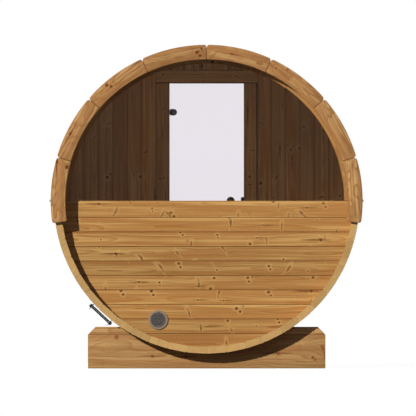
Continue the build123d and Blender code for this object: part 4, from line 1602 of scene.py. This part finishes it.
@dataclass
class DoorEnd(Assembly):
    """The upright boards round the door and the door's timber frame."""

    frame_edge: float = 0.008
    side_count: int = 7
    short_count: int = 7

    def build(self) -> None:
        """Make the boards and the frame, and dress the catch."""
        self.build_sides()
        self.build_shorts()
        self.build_frame()
        self.shop.dress(self.shop.palette[Slot.BLACK], "door_catch")

    def build_sides(self) -> None:
        """Make the full-height boards left and right of the door."""
        box, pitch = Box.of("door_wall_left"), self.barrel.board_pitch
        first = Box.of("door_jamb_right").high.x + pitch / 2
        section = self.barrel.wall_section(pitch, box.size.y)
        for side, word in ((1, "left"), (-1, "right")):
            piece = Piece(f"door_wall_{word}_planed", Slot.WALL, (f"door_wall_{word}",))
            self.make_wall(piece, section, box.middle.y, {
                "Count": self.side_count, "First": side * first, "Pitch": side * pitch, "Seat": Seat.UPRIGHT})

    def build_shorts(self) -> None:
        """Make the short boards above and below the door frame."""
        box, head = Box.of("door_wall_over"), Box.of("door_head")
        pitch = head.size.x / self.short_count
        section = self.barrel.wall_section(pitch, box.size.y)
        near = head.high.z + self.barrel.board_gap - self.barrel.axis
        for seat, word in ((Seat.UPRIGHT, "over"), (Seat.UPRIGHT_DOWNWARD, "under")):
            piece = Piece(f"door_wall_{word}_planed", Slot.WALL, (f"door_wall_{word}",))
            self.make_wall(piece, section, box.middle.y, {
                "Count": self.short_count, "First": (pitch - head.size.x) / 2, "Pitch": pitch, "Near": near,
                "Seat": seat})

    def build_frame(self) -> None:
        """Make the jambs, the head and the threshold."""
        pairs = (("door_jambs", ("door_jamb_left", "door_jamb_right"), Seat.UPRIGHT),
                 ("door_rails", ("door_threshold", "door_head"), Seat.FACING_WINDOW_END))
        for name, nodes, seat in pairs:
            first, second = (Box.of(node) for node in nodes)
            width, length = sorted((first.size.x, first.size.z))
            timber = prism("timber", bar_section(width, first.size.y, self.frame_edge), length)
            self.shop.make(Piece(name, Slot.FRAME, nodes), timber, self.shop.trees.row, {
                "Count": len(nodes), "First": tuple(first.middle),
                "Step": tuple(second.middle - first.middle), "Seat": seat})


@dataclass
class GlassDoor(Assembly):
    """The glass leaf with its hinges, its turned knobs and the bolt heads that clamp it."""

    # A knob's radius and rise from its foot to its crown, as shares of its own: neck, bead and crown.
    KNOB_SHARES = ((0.47, 0.0), (0.47, 0.30), (0.52, 0.36), (0.80, 0.49), (0.97, 0.55), (1.0, 0.585),
                   (0.985, 0.62), (0.955, 0.635), (0.955, 0.655), (0.93, 0.70), (0.80, 0.82), (0.60, 0.915),
                   (0.36, 0.972), (0.12, 1.0))

    knob_turns: int = 48
    bolt_radius: float = 0.0130
    bolt_height: float = 0.0035
    bolt_socket_share: float = 0.42
    clamp_thickness: float = 0.004
    clamp_clearance: float = 0.005
    clamp_edge: float = 0.001
    clamp_steps: int = 24

    def build(self) -> None:
        """Make and dress the door."""
        self.shop.dress(self.shop.palette.leaf, "door_glass")
        self.shop.dress(self.shop.palette.hinge, "door_hinge_arms", "door_hinge_brackets")
        self.build_clamps()
        self.build_knob("door_knob", -1)
        self.build_knob("door_pull", 1)
        self.build_bolts()

    def build_knob(self, node: str, outwards: int) -> None:
        """Turn a knob with a waisted neck and a bead round its crown.

        Args:
            node: The frame node that the knob stands for.
            outwards: The way it points along Y.
        """
        box = Box.of(node)
        middle, radius = box.middle, box.size.x / 2
        foot = box.low.y if outwards > 0 else box.high.y
        rings = [[(x + middle.x, foot + outwards * box.size.y * rise, z + middle.z)
                  for x, z in arc(radius * share, 0.0, math.tau, self.knob_turns)[:-1]]
                 for share, rise in self.KNOB_SHARES]
        knob = linked(f"{node}_turned", lofted(node, rings))
        grain = knob.data.attributes.new("grain", "FLOAT_VECTOR", "POINT")
        grain.data.foreach_set("vector", [c for v in knob.data.vertices for c in (v.co - middle).yxz])
        self.shop.finish(Piece(knob.name, Slot.KNOB, (node,), Body.DOOR), knob)

    def hinge_places(self, y: float) -> tuple[float, list[Triple]]:
        """Find the hinge discs.

        Args:
            y: The Y at which their middles are wanted.

        Returns:
            Their radius, and the middles of the lower and the upper one.
        """
        box = Box.of("door_hinge_discs")
        radius = box.size.x / 2
        return radius, [(box.middle.x, y, z) for z in (box.low.z + radius, box.high.z - radius)]

    def build_clamps(self) -> None:
        """Make the plate inside the glass at each hinge: round at one end, square at the frame's side."""
        inside = Box.of("door_hinge_discs").low.y
        radius, places = self.hinge_places(inside + self.clamp_thickness / 2)
        square = Box.of("door_jamb_left").high.x + self.clamp_clearance - places[0][0]
        outline = [(square, radius), *arc(radius, 0.0, math.pi, self.clamp_steps), (square, -radius)]
        piece = Piece("door_hinge_clamps", Slot.BLACK, ("door_hinge_discs",), Body.DOOR,
                      self.clamp_edge, self.shop.palette.hinge)
        self.shop.make(piece, plate("clamp", outline, self.clamp_thickness), self.shop.trees.row, {
            "Count": len(places), "First": places[0], "Step": (0, 0, places[1][2] - places[0][2]),
            "Seat": Seat.FACING_WINDOW_END})

    def build_bolts(self) -> None:
        """Set a steel bolt head on each clamp."""
        places = self.hinge_places(Box.of("door_hinge_discs").low.y)[1]
        piece = Piece("door_hinge_bolt_heads", Slot.HOOP, body=Body.DOOR)
        self.shop.make(piece, self.shop.spots(places, (0, -1, 0)), self.shop.trees.heads, {
            "Head Radius": self.bolt_radius, "Head Height": self.bolt_height,
            "Socket Radius": self.bolt_radius * self.bolt_socket_share})


@dataclass
class Hoops(Assembly):
    """The steel hoops with their threaded tension rods, nuts and splice bolts."""

    tension_angle: float = math.radians(227)
    rod_distance: float = 1.054
    rod_length: float = 0.197
    rod_radius: float = 0.005
    thread_pitch: float = 0.0025
    thread_depth: float = 0.0005
    rings_per_turn: int = 4

    def build(self) -> None:
        """Dress the hoops and cut the rods' threads."""
        hoops = tuple(f"{end.word}_hoop" for end in End)
        self.shop.dress(self.shop.palette[Slot.HOOP], *hoops)
        self.shop.dress(self.shop.palette[Slot.BLACK], "hoop_splice_bolts", "hoop_tension_nuts")
        sine, cosine = math.sin(self.tension_angle), math.cos(self.tension_angle)
        rod_x, rod_z = self.rod_distance * cosine, self.barrel.axis + self.rod_distance * sine
        places = [(rod_x, Box.of(hoop).middle.y, rod_z) for hoop in hoops]
        piece = Piece("hoop_tension_rods_threaded", Slot.BLACK, ("hoop_tension_rods",))
        self.shop.make(piece, self.shop.spots(places, (-sine, 0.0, cosine)), self.shop.trees.thread, {
            "Radius": self.rod_radius, "Length": self.rod_length, "Pitch": self.thread_pitch,
            "Rings": round(self.rod_length / self.thread_pitch * self.rings_per_turn),
            "Depth": self.thread_depth})


@dataclass
class Studio:
    """The camera, the lamps, the white surroundings and the floor."""

    WHITE = (1.0, 1.0, 1.0, 1.0)

    near_plane: float
    frame_width: float = 2.80
    camera_distance: float = 132.0
    camera_x: float = 0.009
    camera_z: float = 1.081
    clip_start: float = 1.0
    clip_share: float = 3.0
    key_way: Triple = (0.567, 0.702, -0.431)
    key_strength: float = 4.0
    key_spread: float = math.radians(1.2)
    back_way: Triple = (-0.50, -0.66, -0.56)
    back_strength: float = 2.3
    back_spread: float = math.radians(25)
    fill: float = 0.145
    fill_colour: Colour = (0.96, 1.0, 1.45, 1.0)
    floor_radius: float = 4.5
    floor_fade: float = 2.4
    floor_sides: int = 96
    floor_grey: Colour = (0.34, 0.34, 0.34, 1.0)
    floor_glow: float = 0.80
    floor_bounce: Colour = (0.14, 0.14, 0.14, 1.0)

    def build(self) -> None:
        """Set the stage."""
        scene = bpy.context.scene
        scene.view_settings.view_transform = "Standard"
        lens = bpy.data.cameras.new("camera")
        lens.lens = lens.sensor_width * self.camera_distance / self.frame_width
        lens.clip_start = self.clip_start
        lens.clip_end = self.camera_distance * self.clip_share
        place = (self.camera_x, self.near_plane - self.camera_distance, self.camera_z)
        scene.camera = linked("camera", lens, place, (QUARTER, 0, 0))
        self.lamp("key_light", self.key_way, self.key_strength, self.key_spread)
        self.lamp("back_light", self.back_way, self.back_strength, self.back_spread)
        self.surround()
        self.floor()

    @staticmethod
    def lamp(name: str, way: Triple, strength: float, spread: float) -> None:
        """Add a lamp that shines one way over everything.

        Args:
            name: The lamp's name.
            way: The way that its light goes.
            strength: Its strength.
            spread: Its angle, which softens the shadows.
        """
        lamp = bpy.data.lights.new(name, "SUN")
        lamp.energy = strength
        lamp.angle = spread
        linked(name, lamp, turn=Vector(way).to_track_quat("-Z", "Y").to_euler())

    @staticmethod
    def cleared(owner: bpy.types.World | bpy.types.Material) -> Graph:
        """Empty the node tree of a world or a material.

        Args:
            owner: The world or the material.

        Returns:
            The graph, with no nodes yet.
        """
        owner.use_nodes = True
        owner.node_tree.nodes.clear()
        return Graph(owner.node_tree)

    @staticmethod
    def seen(graph: Graph) -> Wire:
        """Tell the rays that show a surface to the camera, straight or by gloss or glass.

        Args:
            graph: The graph that asks.

        Returns:
            1 for those rays and 0 for others.
        """
        path = graph.outs("ShaderNodeLightPath")
        shown = graph.maths("MAXIMUM", path["Is Camera Ray"], path["Is Glossy Ray"])
        return graph.maths("MAXIMUM", shown, path["Is Transmission Ray"])

    def surround(self) -> None:
        """Make the world: white where it is seen, and a low even light elsewhere."""
        world = bpy.data.worlds.new("surround")
        bpy.context.scene.world = world
        graph = self.cleared(world)
        dim = graph.out("ShaderNodeBackground", {"Color": self.fill_colour, "Strength": self.fill})
        white = graph.out("ShaderNodeBackground", {"Color": self.WHITE, "Strength": 1.0})
        mixed = graph.out("ShaderNodeMixShader", {0: self.seen(graph), 1: dim, 2: white})
        graph.add("ShaderNodeOutputWorld", {"Surface": mixed})

    def floor(self) -> None:
        """Make a pale floor that keeps the object's shadow and fades into the white."""
        shape = bmesh.new()
        bmesh.ops.create_circle(shape, cap_ends=True, segments=self.floor_sides, radius=self.floor_radius)
        mesh = bpy.data.meshes.new("floor")
        shape.to_mesh(mesh)
        shape.free()
        material = bpy.data.materials.new("pale_floor")
        graph = self.cleared(material)
        pale = graph.out("ShaderNodeBsdfDiffuse", {"Color": self.floor_grey})
        glow = graph.out("ShaderNodeEmission", {"Color": self.WHITE, "Strength": self.floor_glow})
        shown = graph.out("ShaderNodeAddShader", {0: pale, 1: glow})
        dull = graph.out("ShaderNodeBsdfDiffuse", {"Color": self.floor_bounce})
        lit = graph.out("ShaderNodeMixShader", {0: self.seen(graph), 1: dull, 2: shown})
        reach = graph.length(graph.out("ShaderNodeTexCoord", output="Object"))
        fade = graph.eased(reach, self.floor_fade, self.floor_radius)
        clear = graph.out("ShaderNodeBsdfTransparent")
        faded = graph.out("ShaderNodeMixShader", {0: fade, 1: lit, 2: clear})
        graph.add("ShaderNodeOutputMaterial", {"Surface": faded})
        mesh.materials.append(material)
        linked("floor", mesh)


def main() -> None:
    """Build every sub-assembly in order, then the studio."""
    logging.basicConfig(level=logging.INFO, format="%(name)s: %(message)s")
    barrel = Barrel.from_frame()
    shop = Workshop(Palette(), BoardTrees())
    for assembly in (StaveShell, WindowEnd, EndTrim, Cradles, FloorDeck, DoorEnd, GlassDoor, Hoops):
        assembly(shop, barrel).build()
    Studio(near_plane=-barrel.length / 2).build()


if __name__ == "__main__":
    main()
